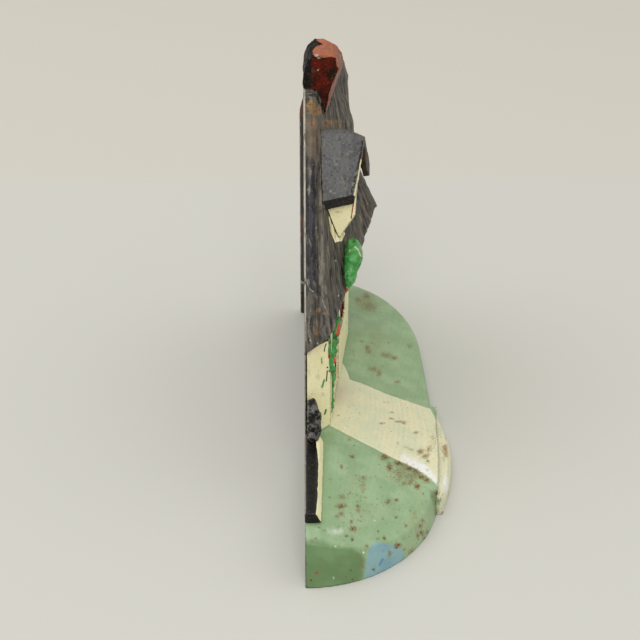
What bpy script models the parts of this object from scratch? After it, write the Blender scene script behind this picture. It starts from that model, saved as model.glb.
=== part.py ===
"""Cast iron doorstop: a thatched cottage with a half-timbered gable, in hollow-backed relief."""
import math
import random

import bmesh
import bpy
from mathutils import Matrix, Vector

# Driving sizes in millimetres. A place is given as (x, d, z): x along the casting from its left end,
# d forward from the flat back plane, z up from the surface that it stands on.
LENGTH = 215.0
DEPTH = 66.0
HEIGHT = 169.0
WALL = 4.0
GAP = 0.3
GROUND = 22.0
BACK = 0.0
MM = 0.001

# Lawn: two elliptical corners joined by a nearly straight front edge.
CORNER = (60.0, 58.0)
FRONT_BULGE = 1.8
SWELL = 0.8
RIM_STEPS = ((0.0, 0.0), (0.28, 0.5), (0.62, 0.83), (1.15, 1.0))
LEFT_HEIGHTS = (21.6, 17.5, 12.5, 10.2, 9.8)
LEFT_INSETS = (10.6, 7.5, 6.0, 4.2, 2.6)
RIGHT_HEIGHTS = (10.2, 12.0, 15.0, 18.0, 20.0, 21.0, 21.6)
RIGHT_INSETS = (2.6, 2.6, 2.6, 2.6, 2.6, 3.0, 3.0)
RIGHT_CORNER_RUN = 92.0

# Where the grass meets the house in plan, left and right, and how far it runs on under the walls.
LEFT_FOLD = [(13.4, BACK), (14.2, 8.6), (69.0, 10.4)]
LEFT_INSIDE = [(18.0, BACK), (64.0, BACK), (73.5, BACK)]
RIGHT_FOLD = [(156.5, 22.4), (206.0, 9.2), (212.2, BACK)]
RIGHT_INSIDE = [(154.8, 16.4), (202.0, 4.4), (204.0, BACK)]

# Kerb wall on the left lawn.
KERB = 4.8
KERB_X = (14.4, 67.6)
KERB_D = (5.6, 7.2)

# House walls in plan, from the left end of the relief to its right end.
LEFT_END = (69.3, BACK)
LEFT_CORNER = (81.0, 11.0)
NEAR_CORNER = (156.0, 21.0)
RIGHT_CORNER = (205.0, 8.0)
RIGHT_END = (210.5, BACK)
HOUSE_PLAN = [LEFT_END, LEFT_CORNER, NEAR_CORNER, RIGHT_CORNER, RIGHT_END]

# Heights that the walls reach before the thatch trims them.
GABLE_TOP = 72.5
FRONT_TOP = 112.0
END_TOP = 152.0

# Path from the door to the front edge: its two sides in plan, from under the wall to the lawn's edge.
PATH_LEFT = [(82.2, 7.2), (80.6, 12.4), (46.5, 56.5)]
PATH_RIGHT = [(114.4, 12.4), (114.4, 17.9), (110.0, 59.8)]
PATH_SLOPE = (22.0, 21.3, 19.6, 17.6, 15.6, 13.8, 12.3, 11.2)
PATH_BOW = 1.2
PATH_FRONT = ((0.5, 9.0), (0.7, 4.5), (0.7, 0.0))
STEP_SPAN = (45.5, 113.0)
STEP_REACH = 4.175
STEP_HEIGHT = 9.0

# Thatch: the four corners of the front slope.
EAVE = [(71.5, 5.4, 70.0), (75.0, 11.0, 73.0), (156.0, 32.7, 91.0)]
RIDGE = [(143.0, 5.4, 152.0), (146.5, 6.1, 152.2), (195.0, 17.3, 147.6)]
VERGE_SHARE = 0.0625
CREST = 1.2
THATCH = (2.4, 4.0)
KICK = 5.0
STRANDS = 16
STRAND_DEPTH = 0.7
ROLL = 2.7
VERGE_DROP = 0.032
END_ROLL = 3.9
END_EAVE = (210.5, 4.5, 104.0)

# Dormer, chimney and openings.
DORMER_X = (115.0, 136.0, 151.5)
DORMER_FOOT_Z = 93.5
DORMER_SILL_Z = 107.5
DORMER_EAVE_Z = 115.0
DORMER_RIDGE_Z = 139.3
DORMER_FRONT = (21.2, 29.5)
DORMER_BACK = 6.6
DORMER_WALL = (117.2, 149.3)
DORMER_WALL_D = (21.5, 23.8)
DORMER_FOOT_D = (13.2, 22.0)
DORMER_THICK = 4.2
DORMER_DROOP = 3.5
CHIMNEY_X = (147.0, 166.0)
# The stack's rows: height, front at its left face, front at its right face, back.
CHIMNEY_ROWS = ((137.0, 8.5, 11.5, BACK), (146.0, 10.2, 13.6, BACK), (152.0, 11.6, 15.6, BACK),
                (158.0, 13.3, 17.4, BACK), (162.5, 14.8, 16.7, 0.5), (165.8, 14.6, 14.4, 1.7),
                (167.8, 13.0, 11.4, 3.2), (HEIGHT, 10.4, 8.4, 5.0))
DOOR_U = (16.5, 33.0)
DOOR_TOP = 55.0
DOOR_FRONT = -1.5
DOOR_THICK = 1.5
DOOR_GROOVE = (0.6, 0.6)
WINDOW_U = (37.0, 57.5)
WINDOW_Z = (46.0, 67.0)
END_WINDOW_U = (14.0, 36.0)
END_WINDOW_Z = (46.0, 72.0)
DORMER_WINDOW_U = (9.5, 24.5)
DORMER_WINDOW_Z = (109.5, 122.0)
CASEMENT = 1.8
GLAZING = 1.1
PANE_FRONT = -1.1
FRAME_FRONT = 0.35
TIMBER = 3.0
TIMBER_PROUD = 1.1
POST_INSET = 5.2

# Plants: places and radii from foot to top, or from left to right, with their sway and scatter.
STEM_X = (84.8, 12.0, 0.9)
STEM_D = (11.8, 1.3, 3.0)
STEM_Z = (24.5, 53.0)
STEM_RADIUS = (1.7, 0.7, 0.4)
ROSE_X = (102.5, 19.0)
ROSE_Z = (80.0, 8.0, 5.0, 3.0)
ROSE_D = (18.2, 3.4, 1.2)
ROSE_RADIUS = (2.2, 2.8)
BUSH_LOBES = [(64.5, 3.4, 28.5, 3.1), (68.0, 4.0, 29.5, 3.6), (65.5, 3.6, 34.0, 3.4), (68.2, 4.0, 35.5, 3.5),
              (66.5, 3.4, 39.5, 3.0), (68.0, 3.0, 42.5, 2.4)]
SHRUB_X = (208.6, 1.4)
SHRUB_D = (5.6, 1.8)
SHRUB_Z = (25.0, 52.0)
SHRUB_RADIUS = (4.6, 2.0, 0.6)
LEAF_SIZES = {"climbing_vine": 0.9, "rose_clump": 1.9, "corner_bush": 1.3, "end_shrub": 1.6}

PARTS = "cottage_doorstop"
CUTTERS = "cutters"


def clear_scene():
    for thing in list(bpy.data.objects):
        bpy.data.objects.remove(thing, do_unlink=True)
    for name in (PARTS, CUTTERS):
        collection = bpy.data.collections.new(name)
        bpy.context.scene.collection.children.link(collection)


def at(x, d, z):
    """A place on the relief, in the world's metres."""
    return Vector(((x - LENGTH / 2) * MM, (DEPTH / 2 - d) * MM, z * MM))


def mix(a, b, t):
    return tuple(p + (q - p) * t for p, q in zip(a, b))


def smooth(t):
    t = min(max(t, 0.0), 1.0)
    return t * t * (3 - 2 * t)


def through(values, t):
    """Evenly spaced values, read between them."""
    place = min(max(t, 0.0), 1.0) * (len(values) - 1)
    index = min(int(place), len(values) - 2)
    return values[index] + (values[index + 1] - values[index]) * (place - index)


def bent(line, u):
    """A line of three places whose first stretch takes a set share of it."""
    if u < VERGE_SHARE:
        return mix(line[0], line[1], u / VERGE_SHARE)
    return mix(line[1], line[2], (u - VERGE_SHARE) / (1 - VERGE_SHARE))


def along(points, t):
    """The point at a fraction t of a polyline's length."""
    lengths = [math.dist(a, b) for a, b in zip(points, points[1:])]
    left = min(max(t, 0.0), 1.0) * sum(lengths)
    for a, b, length in zip(points, points[1:], lengths):
        if left <= length:
            return mix(a, b, left / length)
        left -= length
    return points[-1]


def set_off(points, distance):
    """A plan line moved sideways with mitred corners, forward where distance is positive."""
    moved = []
    for index, point in enumerate(points):
        before = points[max(index - 1, 0)]
        after = points[min(index + 1, len(points) - 1)]
        here = Vector(point)
        one = (here - Vector(before)) if index > 0 else (Vector(after) - here)
        two = (Vector(after) - here) if index < len(points) - 1 else one
        one = Vector((-one.y, one.x)).normalized()
        two = Vector((-two.y, two.x)).normalized()
        middle = (one + two).normalized()
        moved.append(tuple(here + middle * (distance / middle.dot(one))))
    return moved


def paint(name, colour, roughness=0.5, metallic=0.0):
    """A Principled BSDF with a colour given in display values from 0 to 255."""
    material = bpy.data.materials.get(name)
    if material is None:
        material = bpy.data.materials.new(name)
        material.use_nodes = True
        shader = material.node_tree.nodes["Principled BSDF"]
        linear = [(value / 255.0) ** 2.2 for value in colour]
        shader.inputs["Base Color"].default_value = (*linear, 1.0)
        shader.inputs["Roughness"].default_value = roughness
        shader.inputs["Metallic"].default_value = metallic
    return material


def cream():
    return paint("cream_paint", (225, 215, 175), 0.42)


def lawn_green():
    return paint("lawn_paint", (145, 175, 135), 0.4)


def path_cream():
    return paint("path_paint", (215, 208, 170), 0.42)


def thatch_grey():
    return paint("thatch_paint", (84, 82, 84), 0.5)


def black():
    return paint("black_paint", (35, 33, 33), 0.45)


def brick_red():
    return paint("brick_paint", (125, 38, 28), 0.3)


def window_red():
    return paint("window_paint", (165, 50, 38), 0.38)


def leaf_green():
    return paint("leaf_paint", (55, 140, 60), 0.35)


def add(name, mesh, material, collection=PARTS):
    thing = bpy.data.objects.new(name, mesh)
    bpy.data.collections[collection].objects.link(thing)
    if material is not None:
        mesh.materials.append(material)
    if collection == CUTTERS:
        thing.hide_render = True
        thing.display_type = "WIRE"
    return thing


def finish_mesh(name, work):
    bmesh.ops.recalc_face_normals(work, faces=work.faces)
    mesh = bpy.data.meshes.new(name)
    work.to_mesh(mesh)
    work.free()
    return mesh


def shade(thing, degrees=35.0):
    thing.data.shade_smooth()
    thing.data.set_sharp_from_angle(angle=math.radians(degrees))
    return thing


def loft(name, outer, inner, material, collection=PARTS):
    """A closed body between two grids of places, row by row, all split along the same diagonal."""
    rows = len(outer)
    columns = len(outer[0])
    work = bmesh.new()
    front = [[work.verts.new(at(*place)) for place in row] for row in outer]
    back = [[work.verts.new(at(*place)) for place in row] for row in inner]
    for r in range(rows - 1):
        for c in range(columns - 1):
            for grid in (front, back):
                a, b, e, f = grid[r][c], grid[r][c + 1], grid[r + 1][c + 1], grid[r + 1][c]
                work.faces.new((a, b, e))
                work.faces.new((a, e, f))
    rim = [(0, c) for c in range(columns)]
    rim += [(r, columns - 1) for r in range(1, rows)]
    rim += [(rows - 1, c) for c in range(columns - 2, -1, -1)]
    rim += [(r, 0) for r in range(rows - 2, 0, -1)]
    for (r1, c1), (r2, c2) in zip(rim, rim[1:] + rim[:1]):
        work.faces.new((front[r1][c1], front[r2][c2], back[r2][c2], back[r1][c1]))
    return add(name, finish_mesh(name, work), material, collection)


def prism(name, plan, bottom, top, material, collection=PARTS):
    """An upright body on a plan outline."""
    work = bmesh.new()
    face = work.faces.new([work.verts.new(at(x, d, bottom)) for x, d in plan])
    raised = bmesh.ops.extrude_face_region(work, geom=[face])
    verts = [item for item in raised["geom"] if isinstance(item, bmesh.types.BMVert)]
    bmesh.ops.translate(work, verts=verts, vec=(0, 0, (top - bottom) * MM))
    return add(name, finish_mesh(name, work), material, collection)


def boolean(thing, other, operation="DIFFERENCE"):
    step = thing.modifiers.new("cut", "BOOLEAN")
    step.operation = operation
    step.object = other
    return thing


def as_mesh(curve):
    """A curve object made a mesh, with its caps welded."""
    graph = bpy.context.evaluated_depsgraph_get()
    mesh = bpy.data.meshes.new_from_object(curve.evaluated_get(graph))
    name = curve.name
    collection = curve.users_collection[0].name
    place = curve.matrix_world.copy()
    bpy.data.objects.remove(curve, do_unlink=True)
    work = bmesh.new()
    work.from_mesh(mesh)
    bmesh.ops.remove_doubles(work, verts=work.verts, dist=0.00001)
    bmesh.ops.recalc_face_normals(work, faces=work.faces)
    work.to_mesh(mesh)
    work.free()
    thing = add(name, mesh, None, collection)
    thing.matrix_world = place
    return thing


def tube(name, points, radius, material, collection=PARTS, sides=3):
    """A round bar through places, with filled caps."""
    curve = bpy.data.curves.new(name, "CURVE")
    curve.dimensions = "3D"
    curve.bevel_depth = radius * MM
    curve.bevel_resolution = sides
    curve.use_fill_caps = True
    spline = curve.splines.new("POLY")
    spline.points.add(len(points) - 1)
    for point, place in zip(spline.points, points):
        point.co = (*at(*place), 1.0)
    if material is not None:
        curve.materials.append(material)
    thing = bpy.data.objects.new(name, curve)
    bpy.data.collections[collection].objects.link(thing)
    bpy.context.view_layer.update()
    thing = as_mesh(thing)
    if collection == CUTTERS:
        thing.hide_render = True
        thing.display_type = "WIRE"
    return shade(thing)


def wall_frame(start, end):
    """The upright plane of a wall: u along it, z up, and outward from its face."""
    along_wall = (at(*end, 0) - at(*start, 0)).normalized()
    up = Vector((0, 0, 1))
    outward = along_wall.cross(up)
    turn = Matrix((along_wall, up, outward)).transposed().to_4x4()
    return Matrix.Translation(at(*start, 0)) @ turn


def board(name, frame, outlines, back, front, material, collection=PARTS):
    """A flat piece on a wall, from a closed outline and any holes in it."""
    curve = bpy.data.curves.new(name, "CURVE")
    curve.dimensions = "2D"
    curve.fill_mode = "BOTH"
    curve.extrude = (front - back) / 2 * MM
    for outline in outlines:
        spline = curve.splines.new("POLY")
        spline.points.add(len(outline) - 1)
        for point, (u, z) in zip(spline.points, outline):
            point.co = (u * MM, z * MM, 0, 1)
        spline.use_cyclic_u = True
    if material is not None:
        curve.materials.append(material)
    thing = bpy.data.objects.new(name, curve)
    bpy.data.collections[collection].objects.link(thing)
    thing.matrix_world = frame @ Matrix.Translation((0, 0, (front + back) / 2 * MM))
    bpy.context.view_layer.update()
    thing = as_mesh(thing)
    if collection == CUTTERS:
        thing.hide_render = True
        thing.display_type = "WIRE"
    return thing


def rectangle(u0, u1, z0, z1):
    return [(u0, z0), (u1, z0), (u1, z1), (u0, z1)]


def bar(u0, z0, u1, z1, width):
    """The outline of a straight timber between two points of a wall."""
    run = Vector((u1 - u0, z1 - z0)).normalized()
    side = Vector((-run.y, run.x)) * width / 2
    return [(u0 - side.x, z0 - side.y), (u1 - side.x, z1 - side.y),
            (u1 + side.x, z1 + side.y), (u0 + side.x, z0 + side.y)]


def lawn_rim(angle, side):
    """A point of the lawn's outline on its left or right corner."""
    x = CORNER[0] * (1 - math.cos(angle))
    d = max(CORNER[1] * math.sin(angle), BACK)
    return (x, d) if side == "left" else (LENGTH - x, d)


def lawn_section(rim, fold, inside, height, inset):
    """The lawn's outer and inner line from its rim up to the house, at one place along it."""
    run = math.dist(rim, fold)
    outer = []
    inner = []
    for reach, rise in RIM_STEPS:
        place = mix(rim, fold, reach * inset / run)
        under = mix(rim, fold, (reach * inset + WALL) / run)
        outer.append((*place, height * rise))
        inner.append((*under, max(height * rise - WALL * rise, 0.0)))
    half = mix(outer[-1], (*fold, GROUND), 0.5)
    outer += [(half[0], half[1], min(half[2] + SWELL, GROUND)), (*fold, GROUND), (*inside, GROUND)]
    beyond = mix(fold, inside, 0.6)
    inner += [(half[0], half[1], half[2] - WALL), (*beyond, GROUND - WALL), (*inside, GROUND - WALL)]
    return outer, inner


def build_lawn():
    """The grass bank on both sides of the path, with a rim that stands on the surface."""
    turn = math.acos(1 - PATH_LEFT[2][0] / CORNER[0])
    fold = LEFT_FOLD + [PATH_LEFT[1]]
    inside = LEFT_INSIDE + [PATH_LEFT[0]]
    outer = []
    inner = []
    for index in range(15):
        t = index / 14
        rim = lawn_rim(turn * t, "left")
        height = through(LEFT_HEIGHTS, t)
        inset = through(LEFT_INSETS, t)
        out_line, in_line = lawn_section(rim, along(fold, t), along(inside, t), height, inset)
        outer.append(out_line)
        inner.append(in_line)
    shade(loft("lawn_left", outer, inner, lawn_green()), 50)
    fold = [PATH_RIGHT[1]] + RIGHT_FOLD
    inside = [PATH_RIGHT[0]] + RIGHT_INSIDE
    straight = LENGTH - CORNER[0] - PATH_RIGHT[2][0]
    outer = []
    inner = []
    for index in range(21):
        t = index / 20
        run = t * (straight + RIGHT_CORNER_RUN)
        if run < straight:
            share = run / straight
            rim = (PATH_RIGHT[2][0] + run, CORNER[1] + FRONT_BULGE * (1 - share * share))
        else:
            rim = lawn_rim(math.pi / 2 * (1 - (run - straight) / RIGHT_CORNER_RUN), "right")
        height = through(RIGHT_HEIGHTS, t)
        inset = through(RIGHT_INSETS, t)
        out_line, in_line = lawn_section(rim, along(fold, t), along(inside, t), height, inset)
        outer.append(out_line)
        inner.append(in_line)
    shade(loft("lawn_right", outer, inner, lawn_green()), 50)


def path_row(v):
    """Where the path's sides are, and its height, from under the wall to its front end."""
    if v < 0:
        return PATH_LEFT[0], PATH_RIGHT[0], PATH_SLOPE[0]
    return mix(PATH_LEFT[1], PATH_LEFT[2], v), mix(PATH_RIGHT[1], PATH_RIGHT[2], v), through(PATH_SLOPE, v)


def build_path():
    """The widening path and the bowed step under its front end."""
    outer = []
    inner = []
    for index in range(-1, 10):
        v = index / 9
        left, right, height = path_row(v)
        row = []
        for column in range(9):
            u = column / 8
            x, d = mix((left[0] + GAP, left[1]), (right[0] - GAP, right[1]), u)
            bow = math.sin(math.pi * u) * smooth(v * 3)
            row.append((x, d + PATH_BOW * bow * v, height + 0.5 * bow))
        outer.append(row)
        inner.append([(x, d, z - WALL) for x, d, z in row])
    front = outer[-1]
    behind = outer[-2]
    inner[-1] = [(x, d, PATH_SLOPE[-1] - WALL) for x, d, z in behind]
    for forward, height in PATH_FRONT:
        outer.append([(x, d + forward, height) for x, d, z in front])
        inner.append([(x, d, min(height, 5.0)) for x, d, z in behind])
    shade(loft("garden_path", outer, inner, path_cream()), 50)
    outer = []
    inner = []
    for index in range(17):
        u = index / 16
        x = STEP_SPAN[0] + (STEP_SPAN[1] - STEP_SPAN[0]) * u
        share = (x - PATH_LEFT[2][0]) / (PATH_RIGHT[2][0] - PATH_LEFT[2][0])
        bow = math.sin(math.pi * min(max(share, 0.0), 1.0))
        back = mix(PATH_LEFT[2], PATH_RIGHT[2], share)[1] + PATH_BOW * bow + PATH_FRONT[-1][0] + GAP
        reach = back + 1.3 + STEP_REACH * math.sin(math.pi * u) ** 0.7
        outer.append([(x, reach, 0.0), (x, reach, STEP_HEIGHT * 0.6),
                      (x, back + (reach - back) * 0.7, STEP_HEIGHT * 0.9), (x, back + 0.6, STEP_HEIGHT)])
        inner.append([(x, back, 0.0), (x, back, STEP_HEIGHT * 0.3),
                      (x, back, STEP_HEIGHT * 0.6), (x, back, STEP_HEIGHT * 0.9)])
    shade(loft("path_step", outer, inner, path_cream()), 50)


def build_garden_wall():
    """The low kerb wall that runs from the house towards the left end."""
    rows = []
    backs = []
    for index in range(7):
        t = index / 6
        x, d = mix((KERB_X[0], KERB_D[0]), (KERB_X[1], KERB_D[1]), t)
        shoulder = GROUND + 0.8 * KERB
        top = GROUND + KERB
        rows.append([(x, d + 1.6, GROUND + GAP), (x, d, shoulder), (x, d - 1.0, top)])
        backs.append([(x, BACK, GROUND + GAP), (x, BACK, shoulder), (x, BACK + 0.6, top)])
    shade(loft("garden_wall", rows, backs, cream()), 30)


def roof_place(u, v):
    """The thatch surface: u from the left verge to the right one, v from eave to ridge."""
    low = bent(EAVE, u)
    high = bent(RIDGE, u)
    x, d, z = mix(low, high, v)
    hollow = math.sin(math.pi * min(v * 1.25, 1.0)) * (2.6 + KICK * u)
    crown = 1.2 * math.sin(math.pi * u) * math.sin(math.pi * v)
    return (x, d - 0.6 * hollow + crown, z)


def roof_grid(shift_d=0.0, shift_z=0.0, margin=0.0, columns=16):
    """The thatch surface as rows of places; margin reaches past its edges."""
    rows = []
    for r in range(13):
        v = -margin + (1 + 2 * margin) * r / 12
        row = []
        for c in range(columns + 1):
            u = -margin + (1 + 2 * margin) * c / columns
            x, d, z = roof_place(u, v)
            row.append((x, d + shift_d, z + shift_z))
        rows.append(row)
    return rows


def crest_grid(grid):
    """The same surface carried back over the ridge to the back plane."""
    top = grid[-1]
    crest = [(x, d - 2.0, z + CREST) for x, d, z in top]
    return grid + [crest, [(x, BACK, z + CREST) for x, d, z in top]]


def combed(grid):
    """The thatch surface with shallow furrows between its strands, from eave to ridge."""
    rows = []
    for r, row in enumerate(grid):
        places = []
        for c, (x, d, z) in enumerate(row):
            turn = 2 * math.pi * STRANDS * c / (len(row) - 1) + 0.9 * math.sin(0.7 * r + 0.4 * c)
            furrow = STRAND_DEPTH * (0.5 - 0.5 * math.cos(turn))
            places.append((x, d - 0.6 * furrow, z - 0.8 * furrow))
        rows.append(places)
    return rows


def build_roof(cutters):
    """The thatched front slope, carried over the ridge to the back plane."""
    columns = 3 * STRANDS
    outer = crest_grid(combed(roof_grid(columns=columns)))
    inner = roof_grid(-THATCH[0], -THATCH[1], columns=columns)
    inner = inner + [[(x, max(d - 1.0, BACK + 0.4), z) for x, d, z in inner[-1]],
                     [(x, BACK, z) for x, d, z in inner[-1]]]
    roof = loft("main_roof", outer, inner, thatch_grey())
    boolean(roof, cutters["left_roll"])
    boolean(roof, cutters["right_roll"])
    shade(roof, 50)


def roll_points():
    """The centre lines of the thatch rolls on the left verge and round the right gable."""
    foot = (EAVE[0][0], BACK + ROLL, EAVE[0][2])
    peak = (RIDGE[0][0] + 0.5, BACK + ROLL, RIDGE[0][2] - 1.5)
    foot = mix(foot, peak, -VERGE_DROP)
    left = [mix(foot, peak, index / 12) for index in range(13)]
    right = []
    for index in range(15):
        x, d, z = roof_place(1.0, index / 14)
        right.append((x + 1.5, d - 2.4, z - 1.8))
    apex = right[-1]
    for index in range(1, 9):
        t = index / 8
        x, d, z = mix(apex, END_EAVE, t)
        right.append((x + 1.5 * math.sin(math.pi * t), d, z + 2.0 * math.sin(math.pi * t)))
    return left, right


def build_rolls(cutters):
    left, right = roll_points()
    tube("left_verge", left, ROLL, thatch_grey())
    cutters["left_roll"] = tube("left_verge_room", left, ROLL + GAP, None, CUTTERS)
    tube("right_verge", right, END_ROLL, thatch_grey())
    cutters["right_roll"] = tube("right_verge_room", right, END_ROLL + GAP, None, CUTTERS)


def build_cutters(cutters):
    """Rooms that keep neighbours clear of the thatch: everything above it and everything below it."""
    wide = roof_grid(-THATCH[0] - GAP * 0.6, -THATCH[1] - GAP, 0.08)
    lifted = [[(x, d, z + 80.0) for x, d, z in row] for row in wide]
    cutters["above_roof"] = loft("above_roof", lifted, wide, None, CUTTERS)
    wide = crest_grid(roof_grid(GAP * 0.6, GAP))
    wide.append([(x, BACK - 3.0, z) for x, d, z in wide[-1]])
    sunk = [[(x, d, z - 95.0) for x, d, z in row] for row in wide]
    cutters["below_roof"] = loft("below_roof", wide, sunk, None, CUTTERS)


def build_walls(cutters):
    """The three faces of the house, mitred at their corners."""
    inside = set_off(HOUSE_PLAN, -WALL)
    gap = GAP / 2
    for index, (name, top) in enumerate((("gable_wall", GABLE_TOP), ("front_wall", FRONT_TOP))):
        a, b = HOUSE_PLAN[index], HOUSE_PLAN[index + 1]
        p, q = inside[index], inside[index + 1]
        share = gap / math.dist(a, b)
        plan = [mix(a, b, share), mix(a, b, 1 - share), mix(p, q, 1 - share), mix(p, q, share)]
        plan = [(x, max(d, BACK)) for x, d in plan]
        wall = prism(name, plan, GROUND + GAP, top, cream())
        boolean(wall, cutters["above_roof"])
        boolean(wall, cutters["left_roll"])
    share = gap / math.dist(NEAR_CORNER, RIGHT_CORNER)
    plan = [mix(NEAR_CORNER, RIGHT_CORNER, share), RIGHT_CORNER, RIGHT_END,
            (inside[4][0], BACK), inside[3], mix(inside[2], inside[3], share)]
    wall = prism("end_wall", plan, GROUND + GAP, END_TOP, cream())
    boolean(wall, cutters["above_end"])
    boolean(wall, cutters["right_roll"])
    boolean(wall, cutters["above_roof"])


def build_end_room(cutters):
    """Everything above the right gable's slopes, as a room that trims its wall."""
    left, right = roll_points()
    line = [(x - RIGHT_CORNER[0], z) for x, d, z in right]
    frame = wall_frame((RIGHT_CORNER[0], 60.0), (RIGHT_CORNER[0] + 1.0, 60.0))
    outline = [(line[0][0] - 30.0, line[0][1] - 40.0)] + line
    outline += [(line[-1][0] + 30.0, line[-1][1]), (line[-1][0] + 30.0, 240.0), (line[0][0] - 30.0, 240.0)]
    cutters["above_end"] = board("above_end", frame, [outline], -90.0, 30.0, None, CUTTERS)


def build_chimney(cutters):
    """The stack at the ridge's left end, which leans forward towards its top."""
    near, far = CHIMNEY_X
    front = []
    back = []
    for z, d_near, d_far, d_back in CHIMNEY_ROWS:
        front.append([(near, d_near, z), (far, d_far, z)])
        back.append([(near, d_back, z), (far, d_back, z)])
    stack = loft("chimney_stack", front, back, brick_red())
    boolean(stack, cutters["below_roof"])
    boolean(stack, cutters["left_roll"])
    shade(stack)


def dormer_grid(lower):
    """The dormer's two slopes, from the back to the front."""
    left, ridge, right = DORMER_X
    middle = (DORMER_EAVE_Z + DORMER_RIDGE_Z) / 2 + 0.8
    profile = ((left, DORMER_EAVE_Z), ((left + ridge) / 2, middle),
               (ridge - 2, DORMER_RIDGE_Z - 1.0), (ridge, DORMER_RIDGE_Z), (ridge + 2, DORMER_RIDGE_Z - 1.0),
               ((right + ridge) / 2, middle), (right, DORMER_EAVE_Z))
    grid = []
    for r in range(5):
        t = r / 4
        row = []
        for x, z in profile:
            front = DORMER_FRONT[0] + (DORMER_FRONT[1] - DORMER_FRONT[0]) * (x - left) / (right - left)
            d = DORMER_BACK + (front - DORMER_BACK) * t
            droop = -DORMER_DROOP * t ** 4 * smooth((z - DORMER_EAVE_Z) / (DORMER_RIDGE_Z - DORMER_EAVE_Z))
            rise = DORMER_DROOP * t * (1 - smooth((z - DORMER_EAVE_Z) / 12.0))
            row.append((x, d, z + droop + rise - lower))
        grid.append(row)
    return grid


def build_dormer(cutters):
    """The gabled dormer: its roof, and the walls under it."""
    roof = loft("dormer_roof", dormer_grid(0.0), dormer_grid(DORMER_THICK), thatch_grey())
    boolean(roof, cutters["below_roof"])
    shade(roof, 30)
    under = dormer_grid(DORMER_THICK + GAP)
    under.append([(x, d + 10.0, z) for x, d, z in under[-1]])
    lifted = [[(x, d, z + 50.0) for x, d, z in row] for row in under]
    room = loft("above_dormer", lifted, under, None, CUTTERS)
    left, right = DORMER_WALL
    low, high = DORMER_FOOT_D, DORMER_WALL_D
    heights = ((DORMER_FOOT_Z, low), (DORMER_SILL_Z, high), (DORMER_RIDGE_Z - DORMER_THICK, high))
    front = [[(left, d[0], z), (right, d[1], z)] for z, d in heights]
    back = [[(left, DORMER_BACK, z), (right, DORMER_BACK, z)] for z, d in heights]
    walls = loft("dormer_walls", front, back, cream())
    around = [(left - GAP, BACK), (left - GAP, high[0] + GAP),
              (right + GAP, high[1] + GAP), (right + GAP, BACK)]
    cutters["dormer_side"] = prism("dormer_side", around, DORMER_FOOT_Z - GAP, DORMER_RIDGE_Z, None, CUTTERS)
    boolean(walls, cutters["below_roof"])
    boolean(walls, room)
    face = wall_frame((left, high[0]), (right, high[1]))
    boolean(walls, recess("dormer_window_room", face, DORMER_WINDOW_U, DORMER_WINDOW_Z))
    window("dormer_window", face, DORMER_WINDOW_U, DORMER_WINDOW_Z, (2, 2))


def window(name, frame, u_span, z_span, lights):
    """A casement set in its wall: a red frame with glazing bars, and the dark panes behind it."""
    u0, u1 = u_span
    z0, z1 = z_span
    columns, rows = lights
    width = (u1 - u0 - 2 * CASEMENT - (columns - 1) * GLAZING) / columns
    height = (z1 - z0 - 2 * CASEMENT - (rows - 1) * GLAZING) / rows
    outlines = [rectangle(u0, u1, z0, z1)]
    for column in range(columns):
        for row in range(rows):
            u = u0 + CASEMENT + column * (width + GLAZING)
            z = z0 + CASEMENT + row * (height + GLAZING)
            outlines.append(rectangle(u, u + width, z, z + height))
    board(name + "_frame", frame, outlines, PANE_FRONT + GAP, FRAME_FRONT, window_red())
    board(name + "_panes", frame, [rectangle(u0, u1, z0, z1)], -WALL / 2, PANE_FRONT, black())


def recess(name, frame, u_span, z_span):
    """The room for a window's panes in its wall."""
    room = rectangle(u_span[0] - GAP, u_span[1] + GAP, z_span[0] - GAP, z_span[1] + GAP)
    return board(name, frame, [room], -WALL / 2 - GAP, 3.0, None, CUTTERS)


def arch(u0, u1, z0, z1, count=8):
    """A door's outline with a low round head."""
    middle = (u0 + u1) / 2
    half = (u1 - u0) / 2
    rise = 4.0
    head = [(middle + half * math.cos(math.pi * i / count), z1 - rise + rise * math.sin(math.pi * i / count))
            for i in range(count + 1)]
    return [(u0, z0), (u1, z0)] + head


def build_openings():
    """Door and windows, each seated in its wall."""
    front = wall_frame(LEFT_CORNER, NEAR_CORNER)
    end = wall_frame(NEAR_CORNER, RIGHT_CORNER)
    wall = bpy.data.objects["front_wall"]
    u0, u1 = DOOR_U
    foot = GROUND + 1.6
    room = board("door_room", front, [arch(u0 - GAP, u1 + GAP, foot - GAP, DOOR_TOP + GAP)],
                 DOOR_FRONT - DOOR_THICK - GAP, 3.0, None, CUTTERS)
    boolean(wall, room)
    leaf = [arch(u0, u1, foot, DOOR_TOP)]
    door = board("front_door", front, leaf, DOOR_FRONT - DOOR_THICK, DOOR_FRONT, window_red())
    width, depth = DOOR_GROOVE
    for index in range(1, 4):
        u = u0 + (u1 - u0) * index / 4
        groove = board("door_groove_%d" % index, front,
                       [rectangle(u - width / 2, u + width / 2, foot - 1, DOOR_TOP + 1)],
                       DOOR_FRONT - depth, DOOR_FRONT + 1.0, None, CUTTERS)
        boolean(door, groove)
    boolean(wall, recess("front_window_room", front, WINDOW_U, WINDOW_Z))
    window("front_window", front, WINDOW_U, WINDOW_Z, (3, 3))
    boolean(bpy.data.objects["end_wall"], recess("end_window_room", end, END_WINDOW_U, END_WINDOW_Z))
    window("end_window", end, END_WINDOW_U, END_WINDOW_Z, (2, 3))


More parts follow.
